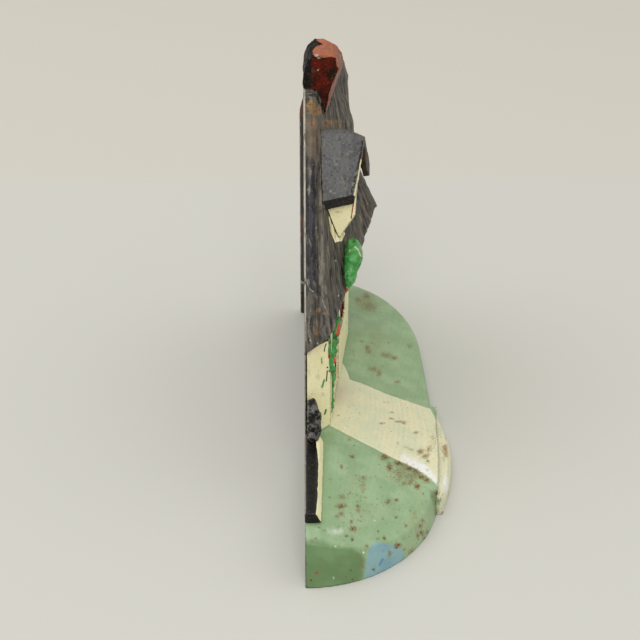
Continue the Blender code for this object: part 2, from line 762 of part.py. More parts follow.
def build_timbers():
    """The dark timbers that stand proud of the plaster on the right gable."""
    end = wall_frame(NEAR_CORNER, RIGHT_CORNER)
    foot = GROUND + 1.0
    beam = POST_INSET + TIMBER + 0.8
    runs = {
        "end_corner_post": (POST_INSET + TIMBER / 2, foot, POST_INSET + TIMBER / 2, 94.0),
        "end_far_post": (46.5, foot, 46.5, 100.0),
        "end_sill_beam": (beam, END_WINDOW_Z[0] - 3.0, 44.5, END_WINDOW_Z[0] - 3.0),
        "end_tie_beam": (beam, 80.0, 44.5, 80.0),
        "end_brace_left": (13.0, 83.0, 22.5, 105.0),
        "end_brace_right": (42.0, 83.0, 34.0, 108.0),
        "end_foot_brace": (12.0, foot + 1.0, 25.0, END_WINDOW_Z[0] - 6.0),
    }
    for name, (u0, z0, u1, z1) in runs.items():
        board(name, end, [bar(u0, z0, u1, z1, TIMBER)], GAP, TIMBER_PROUD + GAP, black())


def clump(name, blobs, material):
    """Leaf masses as overlapping round bodies, fused into one closed body."""
    work = bmesh.new()
    for x, d, z, radius in blobs:
        matrix = Matrix.Translation(at(x, d, z)) @ Matrix.Diagonal((1, 0.8, 1, 1))
        bmesh.ops.create_icosphere(work, subdivisions=2, radius=radius * MM, matrix=matrix)
    thing = add(name, finish_mesh(name, work), material)
    step = thing.modifiers.new("fuse", "REMESH")
    step.mode = "VOXEL"
    step.voxel_size = LEAF_SIZES[name] * MM
    step.adaptivity = 0.0
    return shade(thing, 60)


def build_plants(cutters):
    """The rose over the door, its stem up the wall, and the bushes at both ends of the house."""
    seed = random.Random(7)
    front = wall_frame(LEFT_CORNER, NEAR_CORNER)
    behind = board("behind_front_wall", front, [rectangle(-6.0, 80.0, 0.0, 118.0)], -20.0, GAP, None, CUTTERS)
    skin = loft("roof_room", roof_grid(GAP * 0.6, GAP), roof_grid(-THATCH[0] - GAP * 0.6, -THATCH[1] - GAP),
                None, CUTTERS)
    stem = []
    for index in range(15):
        t = index / 14
        x = STEM_X[0] + STEM_X[1] * t * t + STEM_X[2] * math.sin(9.0 * t)
        d = STEM_D[0] + STEM_D[1] * t + STEM_D[2] * t ** 4
        radius = STEM_RADIUS[0] + STEM_RADIUS[1] * t + STEM_RADIUS[2] * seed.random()
        stem.append((x, d, STEM_Z[0] + STEM_Z[1] * t, radius))
    column = clump("climbing_vine", stem, leaf_green())
    for room in (behind, skin, cutters["ground_room"]):
        boolean(column, room)
    head = []
    for index in range(16):
        t = index / 15
        x = ROSE_X[0] + ROSE_X[1] * t
        z = ROSE_Z[0] + ROSE_Z[1] * t + ROSE_Z[2] * math.sin(math.pi * t) + ROSE_Z[3] * (seed.random() - 0.5)
        d = ROSE_D[0] + ROSE_D[1] * min(2.0 * t, 1.0) + ROSE_D[2] * (seed.random() - 0.5)
        head.append((x, d, z, ROSE_RADIUS[0] + ROSE_RADIUS[1] * math.sin(math.pi / 2 * min(1.6 * t, 1.0))))
    rose = clump("rose_clump", head, leaf_green())
    for room in (behind, skin, cutters["dormer_side"]):
        boolean(rose, room)
    bush = clump("corner_bush", BUSH_LOBES, black())
    for room in (cutters["gable_side"], cutters["kerb_room"], cutters["back_room"]):
        boolean(bush, room)
    tall = []
    for index in range(13):
        t = index / 12
        x = SHRUB_X[0] + SHRUB_X[1] * math.sin(11.0 * t)
        radius = SHRUB_RADIUS[0] - SHRUB_RADIUS[1] * t + SHRUB_RADIUS[2] * seed.random()
        tall.append((x, SHRUB_D[0] - SHRUB_D[1] * t, SHRUB_Z[0] + SHRUB_Z[1] * t, radius))
    shrub = clump("end_shrub", tall, leaf_green())
    for room in (cutters["end_side"], cutters["ground_room"], cutters["back_room"]):
        boolean(shrub, room)


def build_plant_rooms(cutters):
    """Rooms that seat the plants on the ground, on the kerb and against the walls."""
    across = [(-20.0, -30.0), (LENGTH + 20.0, -30.0), (LENGTH + 20.0, 90.0), (-20.0, 90.0)]
    cutters["ground_room"] = prism("ground_room", across, 5.0, GROUND + GAP, None, CUTTERS)
    cutters["kerb_room"] = prism("kerb_room", across, 5.0, GROUND + KERB + GAP, None, CUTTERS)
    across = [(-20.0, -30.0), (LENGTH + 20.0, -30.0), (LENGTH + 20.0, BACK), (-20.0, BACK)]
    cutters["back_room"] = prism("back_room", across, -5.0, 200.0, None, CUTTERS)
    face = set_off(HOUSE_PLAN, GAP)
    gable = [face[0], face[1], (110.0, face[1][1]), (110.0, -20.0), (face[0][0], -20.0)]
    cutters["gable_side"] = prism("gable_side", gable, 5.0, 120.0, None, CUTTERS)
    end = [face[2], face[3], face[4], (face[4][0], -20.0), (face[2][0], -20.0)]
    cutters["end_side"] = prism("end_side", end, 5.0, 160.0, None, CUTTERS)


def build():
    clear_scene()
    cutters = {}
    build_lawn()
    build_path()
    build_garden_wall()
    build_rolls(cutters)
    build_cutters(cutters)
    build_end_room(cutters)
    build_roof(cutters)
    build_walls(cutters)
    build_chimney(cutters)
    build_dormer(cutters)
    build_openings()
    build_timbers()
    build_plant_rooms(cutters)
    build_plants(cutters)


build()
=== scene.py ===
"""Looks of the cast iron cottage doorstop: its hand-painted, rust-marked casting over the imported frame."""

import math
import random

import bpy
import numpy as np
from mathutils import Matrix, Vector


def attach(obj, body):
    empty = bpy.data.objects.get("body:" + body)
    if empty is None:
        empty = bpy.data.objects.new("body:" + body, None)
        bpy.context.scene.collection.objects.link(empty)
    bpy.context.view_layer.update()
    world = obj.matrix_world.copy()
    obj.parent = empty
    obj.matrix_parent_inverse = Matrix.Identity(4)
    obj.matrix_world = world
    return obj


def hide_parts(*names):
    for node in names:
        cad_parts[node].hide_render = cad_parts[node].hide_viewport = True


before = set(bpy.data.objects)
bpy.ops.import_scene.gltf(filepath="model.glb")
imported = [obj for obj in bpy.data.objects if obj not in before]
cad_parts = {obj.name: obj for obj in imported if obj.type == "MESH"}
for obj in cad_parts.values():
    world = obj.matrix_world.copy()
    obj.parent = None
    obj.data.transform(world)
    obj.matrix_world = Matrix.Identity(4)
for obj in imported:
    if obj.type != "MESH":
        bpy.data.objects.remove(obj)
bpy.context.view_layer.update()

# Sizes in millimetres. A place is (x, d, z): x along the casting from its left end, d forward from the
# back plane, z up from the floor.
MM = 0.001
LENGTH = 215.0
DEPTH = 66.0

# Camera at the photograph's place: lens in millimetres, place in (x, d, z), turns in radians.
LENS = 78.75
SENSOR = 36.0
PICTURE = 640
CAMERA_AT = (-420.2234, 0.0, 389.9867)
CAMERA_YAW = 0.01294064
CAMERA_PITCH = 0.55850536
CAMERA_ROLL = 0.00286754
CLIP_START = 0.01


def to_world(places):
    """Places in (x, d, z) millimetres as world metres."""
    places = np.asarray(places, float)
    return np.stack([places[..., 0] - LENGTH / 2, DEPTH / 2 - places[..., 1], places[..., 2]], -1) * MM


def to_places(points):
    """World metres as places in (x, d, z) millimetres."""
    points = np.asarray(points, float) / MM
    return np.stack([points[..., 0] + LENGTH / 2, DEPTH / 2 - points[..., 1], points[..., 2]], -1)


def camera_axes():
    """The camera's right, up and forward directions in the world."""
    pitch, yaw = CAMERA_PITCH, CAMERA_YAW
    forward = Vector((math.cos(pitch) * math.cos(yaw), -math.cos(pitch) * math.sin(yaw), -math.sin(pitch)))
    right = forward.cross(Vector((0, 0, 1))).normalized()
    up = right.cross(forward)
    c, s = math.cos(CAMERA_ROLL), math.sin(CAMERA_ROLL)
    return c * right + s * up, -s * right + c * up, forward


def in_picture(places):
    """Where places lie in the photograph's frame: their columns and rows in its pixels."""
    right, up, forward = (np.array(axis) for axis in camera_axes())
    away = to_world(places) - to_world(CAMERA_AT)
    depth = away @ forward
    scale = LENS / SENSOR * PICTURE
    return PICTURE / 2 + scale * (away @ right) / depth, PICTURE / 2 - scale * (away @ up) / depth


# Noise

# The hash behind the noise: multipliers for x, y, z, the seed and the last mixing.
HASH = (374761393, 668265263, 1442695041, 40503, 1274126177)
HASH_MASK = 0xFFFFFFFF
VALUE_MASK = 0xFFFFFF


def lattice(x, y, z, seed):
    """A pseudo-random value from 0 to 1 at whole coordinates."""
    h = (x * HASH[0] + y * HASH[1] + z * HASH[2] + seed * HASH[3]) & HASH_MASK
    h = ((h ^ (h >> 13)) * HASH[4]) & HASH_MASK
    return ((h ^ (h >> 16)) & VALUE_MASK) / float(VALUE_MASK)


def noise(points, size, seed=0):
    """Smooth noise from -1 to 1, with bumps of about the given size."""
    scaled = np.asarray(points, float) / size
    base = np.floor(scaled).astype(np.int64)
    part = scaled - base
    part = part * part * (3 - 2 * part)
    total = 0.0
    for dx in (0, 1):
        for dy in (0, 1):
            for dz in (0, 1):
                weight = (part[:, 0] if dx else 1 - part[:, 0]) * (part[:, 1] if dy else 1 - part[:, 1])
                weight = weight * (part[:, 2] if dz else 1 - part[:, 2])
                total = total + weight * lattice(base[:, 0] + dx, base[:, 1] + dy, base[:, 2] + dz, seed)
    return total * 2 - 1


def layered(points, size, seed=0, layers=3):
    """Noise with finer layers, each half as large and strong."""
    total = 0.0
    share = 1.0
    for layer in range(layers):
        total = total + share * noise(points, size / 2 ** layer, seed + 17 * layer)
        share *= 0.5
    return total / (2 - 2 * share)


def smooth(t):
    """0 below 0 and 1 above 1, with a smooth step between."""
    t = np.clip(t, 0.0, 1.0)
    return t * t * (3 - 2 * t)


# Skins

# A step inward and a slightly longer one outward round edges and keep the volume.
ROUNDING = (0.5, -0.53)
BEND_BLURS = 2


class Skin:
    """A piece's surface: its nodes, places, edges and what is painted on its points."""

    def __init__(self, name, nodes, mesh):
        self.name = name
        self.nodes = nodes
        self.mesh = mesh
        count = len(mesh.vertices)
        flat = np.zeros(count * 3)
        mesh.vertices.foreach_get("co", flat)
        self.places = to_places(flat.reshape(-1, 3))
        pairs = np.zeros(len(mesh.edges) * 2, np.int64)
        mesh.edges.foreach_get("vertices", pairs)
        self.pairs = pairs.reshape(-1, 2)
        self.valence = np.bincount(self.pairs.ravel(), minlength=count).clip(1)
        self.paints = {}

    def neighbours(self, values):
        """The mean of each point's neighbours."""
        total = np.zeros_like(values)
        a, b = self.pairs[:, 0], self.pairs[:, 1]
        if values.ndim == 1:
            total = np.bincount(a, values[b], len(values)) + np.bincount(b, values[a], len(values))
            return total / self.valence
        for axis in range(values.shape[1]):
            column = values[:, axis]
            total[:, axis] = np.bincount(a, column[b], len(column)) + np.bincount(b, column[a], len(column))
        return total / self.valence[:, None]

    def relax(self, rounds):
        """Rounds edges without shrinking the piece."""
        for _ in range(rounds):
            for share in ROUNDING:
                self.places = self.places + share * (self.neighbours(self.places) - self.places)

    def paint(self, name, values):
        """Adds to what is painted under a name."""
        before = self.paints.get(name, np.zeros(len(self.places)))
        self.paints[name] = np.maximum(before, values)

    def dab(self, name, marks):
        """Paints soft spots under a name."""
        self.paint(name, spots(self, marks))

    @property
    def x(self):
        return self.places[:, 0]

    @property
    def d(self):
        return self.places[:, 1]

    @property
    def z(self):
        return self.places[:, 2]

    def store(self):
        self.mesh.vertices.foreach_set("co", to_world(self.places).ravel())
        self.mesh.update()

    def normals(self):
        """Outward directions in (x, d, z)."""
        self.store()
        flat = np.zeros(len(self.places) * 3)
        self.mesh.vertex_normals.foreach_get("vector", flat)
        flat = flat.reshape(-1, 3)
        return np.stack([flat[:, 0], -flat[:, 1], flat[:, 2]], -1)

    def push(self, amount):
        """Moves the surface outward, by one amount or one for each point."""
        amount = np.broadcast_to(amount, len(self.places))
        self.places = self.places + self.normals() * amount[:, None]

    def bumps(self, size, seed, layers=3):
        """Layered noise over the skin."""
        return layered(self.places, size, seed, layers)

    def bend(self):
        """How far each point stands out from its neighbours."""
        out = np.einsum("ij,ij->i", self.places - self.neighbours(self.places), self.normals())
        for _ in range(BEND_BLURS):
            out = 0.5 * out + 0.5 * self.neighbours(out)
        return out


def joined(name, nodes):
    """One mesh with copies of the given nodes' solids."""
    points = []
    faces = []
    for node in nodes:
        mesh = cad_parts[node].data
        start = len(points)
        points += [tuple(vertex.co) for vertex in mesh.vertices]
        faces += [tuple(start + index for index in polygon.vertices) for polygon in mesh.polygons]
    mesh = bpy.data.meshes.new(name)
    mesh.from_pydata(points, [], faces)
    mesh.update()
    return mesh


def added(name, data):
    """A new object in the scene."""
    thing = bpy.data.objects.new(name, data)
    bpy.context.scene.collection.objects.link(thing)
    return thing


def skin_of(name, voxel, grow=0.0, rounds=3, nodes=None):
    """The nodes' solids as one even skin, grown where asked and rounded."""
    nodes = nodes or [name]
    thing = added(name, joined(name + "_rough", nodes))
    if grow:
        step = thing.modifiers.new("grow", "DISPLACE")
        step.mid_level = 0.0
        step.strength = grow * MM
    step = thing.modifiers.new("even", "REMESH")
    step.mode = "VOXEL"
    step.voxel_size = voxel * MM
    graph = bpy.context.evaluated_depsgraph_get()
    mesh = bpy.data.meshes.new_from_object(thing.evaluated_get(graph))
    mesh.name = name
    bpy.data.objects.remove(thing, do_unlink=True)
    skin = Skin(name, nodes, mesh)
    skin.relax(rounds)
    return skin


# Marks, placed where the photograph shows them


def facing(skin):
    """1 where a point faces the photograph's camera."""
    toward = np.array(CAMERA_AT) - skin.places
    toward = toward / np.linalg.norm(toward, axis=1)[:, None]
    return smooth(np.einsum("ij,ij->i", skin.normals(), toward) * 6)


def spots(skin, marks):
    """Soft spots in the photograph's pixels: (column, row, width, height, strength), or with one size."""
    column, row = in_picture(skin.places)
    total = np.zeros(len(column))
    for x, y, *size, strength in marks:
        width, height = size[0], size[-1]
        total = np.maximum(total, strength * np.exp(-((column - x) / width) ** 2 - ((row - y) / height) ** 2))
    return total * facing(skin)


def line(points, width, strength=1.0):
    """Marks in a row along a line of the photograph's pixels."""
    marks = []
    for (x1, y1), (x2, y2) in zip(points, points[1:]):
        count = max(int(math.hypot(x2 - x1, y2 - y1) / width), 1)
        for index in range(count + 1):
            t = index / count
            marks.append((x1 + (x2 - x1) * t, y1 + (y2 - y1) * t, width, strength))
    return marks


def lines(strokes):
    """The marks of several (points, width) or (points, width, strength) lines."""
    return [mark for stroke in strokes for mark in line(*stroke)]


def region(skin, outline, soft, wobble=0.0, everywhere=False):
    """1 inside an outline of the photograph's pixels, with a soft and perhaps uneven edge."""
    column, row = in_picture(skin.places)
    inside = np.zeros(len(column), bool)
    nearest = np.full(len(column), 1e9)
    for (x1, y1), (x2, y2) in zip(outline, outline[1:] + outline[:1]):
        run = np.array([x2 - x1, y2 - y1], float)
        t = np.clip(((column - x1) * run[0] + (row - y1) * run[1]) / (run @ run), 0, 1)
        nearest = np.minimum(nearest, np.hypot(column - x1 - t * run[0], row - y1 - t * run[1]))
        if y1 != y2:
            crosses = (row < y1) != (row < y2)
            inside ^= crosses & (column < x1 + (row - y1) / (y2 - y1) * (x2 - x1))
    signed = np.where(inside, nearest, -nearest)
    if wobble:
        signed = signed + wobble * skin.bumps(2.6, 91, 2)
    share = smooth(0.5 + signed / soft / 2)
    return share if everywhere else share * (facing(skin) > 0.02)


def scatter(skin, count, radii, seed):
    """Seeded round marks over the sides that the photograph doesn't show."""
    picker = random.Random(seed)
    total = np.zeros(len(skin.places))
    for _ in range(count):
        centre = skin.places[picker.randrange(len(skin.places))]
        away = np.linalg.norm(skin.places - centre, axis=1)
        radius = picker.uniform(*radii)
        total = np.maximum(total, picker.uniform(0.55, 1.0) * np.exp(-(away / radius) ** 2))
    return total * (1 - facing(skin))


# Materials


def colour(red, green, blue):
    """A display colour from 0 to 255 as a linear one."""
    linear = []
    for value in (red, green, blue):
        value = value / 255
        linear.append(value / 12.92 if value <= 0.04045 else ((value + 0.055) / 1.055) ** 2.4)
    return (*linear, 1.0)


def pair(*values):
    """The two tones that a paint clouds between."""
    return colour(*values[:3]), colour(*values[3:])


# Which way a shift moves a pattern.
NOISE_SHIFT = (1, 0.7, 1.3)
SPECK_SHIFT = (1, 1.7, 0.6)
# The mix node's sockets: two colours and the result.
MIX = (6, 7, 2)


def tint(softness, *values):
    """Two tones, and the softness of their edge."""
    return (*pair(*values), softness)


class Graph:
    """A material's nodes, added one after another."""

    def __init__(self, name):
        self.material = bpy.data.materials.new(name)
        self.material.use_nodes = True
        self.tree = self.material.node_tree
        self.shader = self.tree.nodes["Principled BSDF"]
        mapping = self.node("ShaderNodeMapping")
        self.feed(mapping, "Scale", (1 / MM,) * 3)
        self.feed(mapping, "Vector", self.node("ShaderNodeTexCoord").outputs["Object"])
        self.place = mapping.outputs["Vector"]

    def node(self, kind):
        return self.tree.nodes.new(kind)

    def feed(self, node, name, value):
        """Sets or links an input of a node."""
        socket = node.inputs[name]
        if isinstance(value, bpy.types.NodeSocket):
            self.tree.links.new(value, socket)
        else:
            socket.default_value = value

    def painted(self, name):
        """What is painted on the points under a name."""
        node = self.node("ShaderNodeAttribute")
        node.attribute_name = name
        return node.outputs["Fac"]

    def pattern(self, kind, size, shift, direction):
        """A texture with bumps or cells of a size in millimetres, moved by a shift along a direction."""
        mapping = self.node("ShaderNodeMapping")
        self.feed(mapping, "Location", tuple(shift * value for value in direction))
        self.feed(mapping, "Vector", self.place)
        node = self.node(kind)
        self.feed(node, "Scale", 1 / size)
        self.feed(node, "Vector", mapping.outputs["Vector"])
        return node

    def noise(self, size, detail=3.0, shift=0.0, rough=0.5):
        """Noise from 0 to 1."""
        node = self.pattern("ShaderNodeTexNoise", size, shift, NOISE_SHIFT)
        self.feed(node, "Detail", detail)
        self.feed(node, "Roughness", rough)
        return node.outputs["Fac"]

    def specks(self, spacing, radius, shift):
        """Small round specks of mixed sizes, about one to a cell."""
        node = self.pattern("ShaderNodeTexVoronoi", spacing, shift, SPECK_SHIFT)
        chosen = self.node("ShaderNodeSeparateColor")
        self.feed(chosen, "Color", node.outputs["Color"])
        size = self.math("MULTIPLY", chosen.outputs["Red"], radius / spacing)
        softness = SPECK_SOFTNESS * radius / spacing
        return self.ramp(self.math("SUBTRACT", size, node.outputs["Distance"]), 0.0, softness)

    def math(self, operation, a, b):
        node = self.node("ShaderNodeMath")
        node.operation = operation
        self.feed(node, 0, a)
        self.feed(node, 1, b)
        return node.outputs[0]

    def swing(self, value, span):
        """A value from 0 to 1, moved around 0 and scaled."""
        return self.math("MULTIPLY", self.math("SUBTRACT", value, 0.5), span)

    def ramp(self, value, low, high):
        """0 below low and 1 above high, smooth between."""
        node = self.node("ShaderNodeMapRange")
        node.interpolation_type = "SMOOTHSTEP"
        self.feed(node, "Value", value)
        self.feed(node, "From Min", low)
        self.feed(node, "From Max", high)
        return node.outputs["Result"]

    def mix(self, share, a, b):
        """A colour between two colours."""
        node = self.node("ShaderNodeMix")
        node.data_type = "RGBA"
        self.feed(node, "Factor", share)
        self.feed(node, MIX[0], a)
        self.feed(node, MIX[1], b)
        return node.outputs[MIX[2]]

    def bump(self, *layers):
        """Fine relief from (height, depth in millimetres) layers."""
        normal = None
        for height, depth in layers:
            node = self.node("ShaderNodeBump")
            self.feed(node, "Strength", 1.0)
            self.feed(node, "Distance", depth * MM)
            self.feed(node, "Height", height)
            if normal is not None:
                self.feed(node, "Normal", normal)
            normal = node.outputs["Normal"]
        self.feed(self.shader, "Normal", normal)


IRON = colour(52, 47, 45)
HOLLOW_TONE = colour(46, 40, 34)
RUST = pair(84, 68, 40, 132, 98, 54)
STAIN = pair(118, 118, 76, 134, 116, 74)
OCHRE = pair(158, 118, 66, 120, 92, 58)

# The enamel's patterns: sizes and depths in millimetres, (from, to) ramps, and shares of 1.
FINE_DETAIL = 4.0
FLECK_SIZE = 0.9
PATCH_EDGE = (0.36, 0.64)
WANDER_SIZE = 2.0
WANDER_SPAN = 0.5
RIDGE_RAMP = (0.75, 0.95)
RIDGE_FLECKS = 1.4
SPECK_SPACING = 4.6
SPECK_RADIUS = 0.42
SPECK_SOFTNESS = 0.12
SPECK_SHARE = 0.75
RUST_FLECKS = 1.9
RUST_SIZE = 1.3
RUST_EDGE = (0.4, 0.62)
HALO_RAMP = (0.08, 0.62)
HALO_SHARE = 0.75
CORE_RAMP = (0.6, 0.95)
GLOSS_SPAN = 0.25
RUST_ROUGHNESS = 0.4
BUMP_SIZE = 3.0
RUST_RELIEF = -0.06

# Each slot's enamel, and what may be painted on it apart from rust.
PAINTS = {}


def enamel(slot, tones, tints, gloss, hollow_darkening=0.5, wear_and_highlight=0.5, wear_and_highlight_tone=IRON, fine=0.05, coarse=0.10, speck=1.0,
           patch_size=9.0, shine=0.4, stain=STAIN):
    """Old brushed enamel: two tones of one colour, tints where they are painted, darker hollows, ridges in
    another tone (worn iron on most paints, a painted highlight on the thatch) and rust that breaks through."""
    g = Graph(slot.replace("paint", "enamel"))
    cloud = g.noise(patch_size)
    fleck = g.noise(FLECK_SIZE, FINE_DETAIL, shift=3.1, rough=0.65)
    patches = g.ramp(cloud, *PATCH_EDGE)
    base = g.mix(patches, *tones)
    wander = g.swing(g.noise(WANDER_SIZE, shift=7.7), WANDER_SPAN)
    for mark, (first, second, softness) in tints.items():
        share = g.ramp(g.math("ADD", g.painted(mark), wander), 0.5 - softness, 0.5 + softness)
        base = g.mix(share, base, g.mix(patches, first, second))
    # Darker in the hollows; on the thatch this is painted shade in its grooves.
    base = g.mix(g.math("MULTIPLY", g.painted("hollow"), hollow_darkening), base, HOLLOW_TONE)
    # Ridges take another tone: worn to iron on most paints, a painted highlight on the thatch.
    ridge_tone_share = g.math("ADD", g.painted("ridge"), g.swing(fleck, RIDGE_FLECKS))
    base = g.mix(g.math("MULTIPLY", g.ramp(ridge_tone_share, *RIDGE_RAMP), wear_and_highlight), base, wear_and_highlight_tone)
    dark = g.specks(SPECK_SPACING, SPECK_RADIUS * speck, shift=11.0)
    base = g.mix(g.math("MULTIPLY", dark, SPECK_SHARE), base, colour(70, 58, 42))
    corroded = g.math("ADD", g.painted("rust"), g.swing(fleck, RUST_FLECKS))
    halo = g.math("MULTIPLY", g.ramp(corroded, *HALO_RAMP), HALO_SHARE)
    core = g.ramp(corroded, *CORE_RAMP)
    rusty = g.mix(g.ramp(g.noise(RUST_SIZE, shift=5.0), *RUST_EDGE), *RUST)
    base = g.mix(halo, base, g.mix(patches, *stain))
    base = g.mix(core, base, rusty)
    g.feed(g.shader, "Base Color", base)
    g.feed(g.shader, "Specular IOR Level", shine)
    roughness = g.math("ADD", g.swing(cloud, GLOSS_SPAN), gloss)
    roughness = g.math("ADD", roughness, g.math("MULTIPLY", core, RUST_ROUGHNESS))
    g.feed(g.shader, "Roughness", roughness)
    g.bump((g.noise(BUMP_SIZE, shift=1.7), coarse), (fleck, fine), (core, RUST_RELIEF))
    PAINTS[slot] = (g.material, tuple(tints))


# The unpainted iron.
IRON_FILM = pair(50, 46, 44, 86, 62, 44)
GRAIN_SIZE = 0.8
GRAIN_RAMP = (0.5, 0.75)
FILM_SIZE = 11.0
FILM_RAMP = (0.42, 0.66)
BARE_RAMP = (0.9, 1.2)
IRON_ROUGHNESS = (0.42, 0.3)
IRON_BUMP_SIZE = 2.6
IRON_RELIEF = (0.18, 0.09)


def raw_iron(name):
    """The unpainted inner side: dark, granular iron, bare where it rubs on the door."""
    g = Graph(name)
    grain = g.noise(GRAIN_SIZE, FINE_DETAIL, rough=0.7)
    base = g.mix(g.ramp(g.noise(FILM_SIZE, FINE_DETAIL, shift=2.0), *FILM_RAMP), *IRON_FILM)
    base = g.mix(g.math("MULTIPLY", g.ramp(grain, *GRAIN_RAMP), 0.5), base, colour(104, 92, 82))
    bare = g.ramp(g.math("ADD", g.painted("back"), g.math("MULTIPLY", grain, 0.5)), *BARE_RAMP)
    base = g.mix(bare, base, colour(150, 146, 138))
    g.feed(g.shader, "Base Color", base)
    g.feed(g.shader, "Metallic", 0.35)
    smoothest, span = IRON_ROUGHNESS
    g.feed(g.shader, "Roughness", g.math("ADD", g.math("MULTIPLY", grain, span), smoothest))
    g.bump((g.noise(IRON_BUMP_SIZE, shift=4.0), IRON_RELIEF[0]), (grain, IRON_RELIEF[1]))
    return g.material


CREAM = pair(243, 233, 184, 247, 240, 197)
BLACK = pair(24, 23, 23, 34, 32, 32)
BROWN = pair(112, 96, 78, 92, 80, 66)
PALE = pair(190, 184, 170, 168, 162, 150)
GREEN = pair(44, 132, 50, 84, 160, 88)
RED = pair(160, 48, 36, 142, 38, 30)

BARE = raw_iron("raw_iron")
# On the lawn's paint the white tint is painted glints and highlights, and the shade tint is painted shade on
# the left end's slope.
enamel("lawn_paint", pair(138, 166, 124, 152, 178, 138), {"path": tint(0.12, 210, 214, 179, 223, 218, 181),
        "shade": tint(0.4, 100, 130, 84, 110, 142, 96), "blue": tint(0.34, 118, 158, 168, 134, 170, 172),
        "deep_blue": tint(0.3, 78, 124, 158, 90, 136, 168),
        "painted_highlight": tint(0.42, 238, 238, 232, 230, 229, 220), "olive": tint(0.5, 142, 150, 100, 128, 134, 88),
        "amber": tint(0.35, 190, 142, 84, 164, 118, 66)}, gloss=0.36, hollow_darkening=0.35)
enamel("cream_paint", CREAM, {"black": tint(0.1, 10, 10, 10, 17, 16, 16), "green": (*GREEN, 0.1),
        "brown": (*BROWN, 0.4), "red": (*RED, 0.1)}, gloss=0.4, hollow_darkening=0.45, shine=0.25)
enamel("black_paint", BLACK, {"grey": tint(0.3, 120, 118, 114, 98, 96, 94)},
        gloss=0.4, wear_and_highlight=0.4, speck=0.5, shine=0.1)
# The thatch's hollows are darkened most and its ridges take a lighter tone: painted shade in the grooves,
# painted highlight on the ridges.
enamel("thatch_paint", pair(70, 67, 61, 90, 86, 77), {"verge": tint(0.3, 29, 30, 36, 46, 46, 52),
        "brown": (*BROWN, 0.4), "stone": tint(0.1, 78, 79, 82, 92, 92, 93), "pale": (*PALE, 0.2),
        "black": (*BLACK, 0.3), "strand": tint(0.35, 116, 112, 98, 100, 97, 88), "cream": (*CREAM, 0.1)},
        gloss=0.42, hollow_darkening=0.85, stain=OCHRE, wear_and_highlight=0.6, wear_and_highlight_tone=colour(128, 122, 108), fine=0.1, coarse=0.16,
        patch_size=5.0, shine=0.28)
enamel("brick_paint", pair(92, 27, 19, 52, 21, 16), {"salmon": tint(0.12, 172, 104, 76, 154, 97, 78),
        "dark_brown": tint(0.2, 54, 36, 26, 34, 26, 22), "tan": tint(0.12, 150, 100, 78, 146, 118, 112),
        "black": (*BLACK, 0.1), "pale": (*PALE, 0.2)},
        gloss=0.3, hollow_darkening=0.7, wear_and_highlight=0.08, coarse=0.28, patch_size=4.0, shine=0.01)
# The leaves' beige tint is a painted highlight.
enamel("leaf_paint", GREEN, {"flower": tint(0.1, 208, 74, 44, 190, 60, 38),
        "leaf_highlight": tint(0.2, 196, 190, 148, 206, 202, 168), "deep_green": tint(0.3, 24, 92, 30, 34, 106, 40)},
        gloss=0.28, wear_and_highlight=0.2, patch_size=3.0)
enamel("window_paint", RED, {}, gloss=0.35, wear_and_highlight=0.3)


# Finishing the pieces

# How far the far end is bent back, and its (start, run) by length and by height.
FAR_END_BACK = 2.0
FAR_END = (150.0, 65.0)
FAR_END_TOP = (126.0, 14.0)
RIDGE_BEND = 0.045
BACK_FACE = 0.25
# The heart of the hollow: between these lengths, at this depth and up to this height.
HEART_REACH = (60, 155)
HEART_DEPTH = -10.0
HEART_TOP = 60
INWARD = -0.12
INNER_BLURS = 6
# The paints of the pieces whose inner side shows at the back.
HOLLOW_BACKED = ("lawn_paint", "cream_paint", "thatch_paint", "brick_paint")
# From these depths on, by length, every surface is an outer one.
FRONT_SKIN = ((50.0, 60.0), (54.5, 59.0))


def rise(values, start, run):
    """0 below start, 1 above start + run, smooth between."""
    return smooth((values - start) / run)


def turned(cosine, limit, sharpness):
    """0 where a normal's cosine is below a limit, rising to 1 above it."""
    return smooth((cosine - limit) * sharpness)


def inner_side(skin):
    """Which points belong to the hollow side of the casting."""
    depth = np.full(len(skin.places), HEART_DEPTH)
    heart = np.stack([np.clip(skin.x, *HEART_REACH), depth, np.minimum(skin.z, HEART_TOP)], -1)
    out = skin.places - heart
    out = out / np.linalg.norm(out, axis=1)[:, None]
    return np.einsum("ij,ij->i", skin.normals(), out) < INWARD


def iron_faces(skin):
    """1 for each face of the unpainted inner side, 0 for the others."""
    inner = (inner_side(skin) & (skin.d < np.interp(skin.x, *FRONT_SKIN))).astype(float)
    for _ in range(INNER_BLURS):
        inner = skin.neighbours(inner)
    corners = np.zeros(len(skin.mesh.loops), np.int64)
    skin.mesh.loops.foreach_get("vertex_index", corners)
    starts = np.zeros(len(skin.mesh.polygons), np.int64)
    skin.mesh.polygons.foreach_get("loop_start", starts)
    share = np.add.reduceat(inner[corners], starts) / np.diff(np.append(starts, len(corners)))
    return (share > 0.5).astype(np.int32)


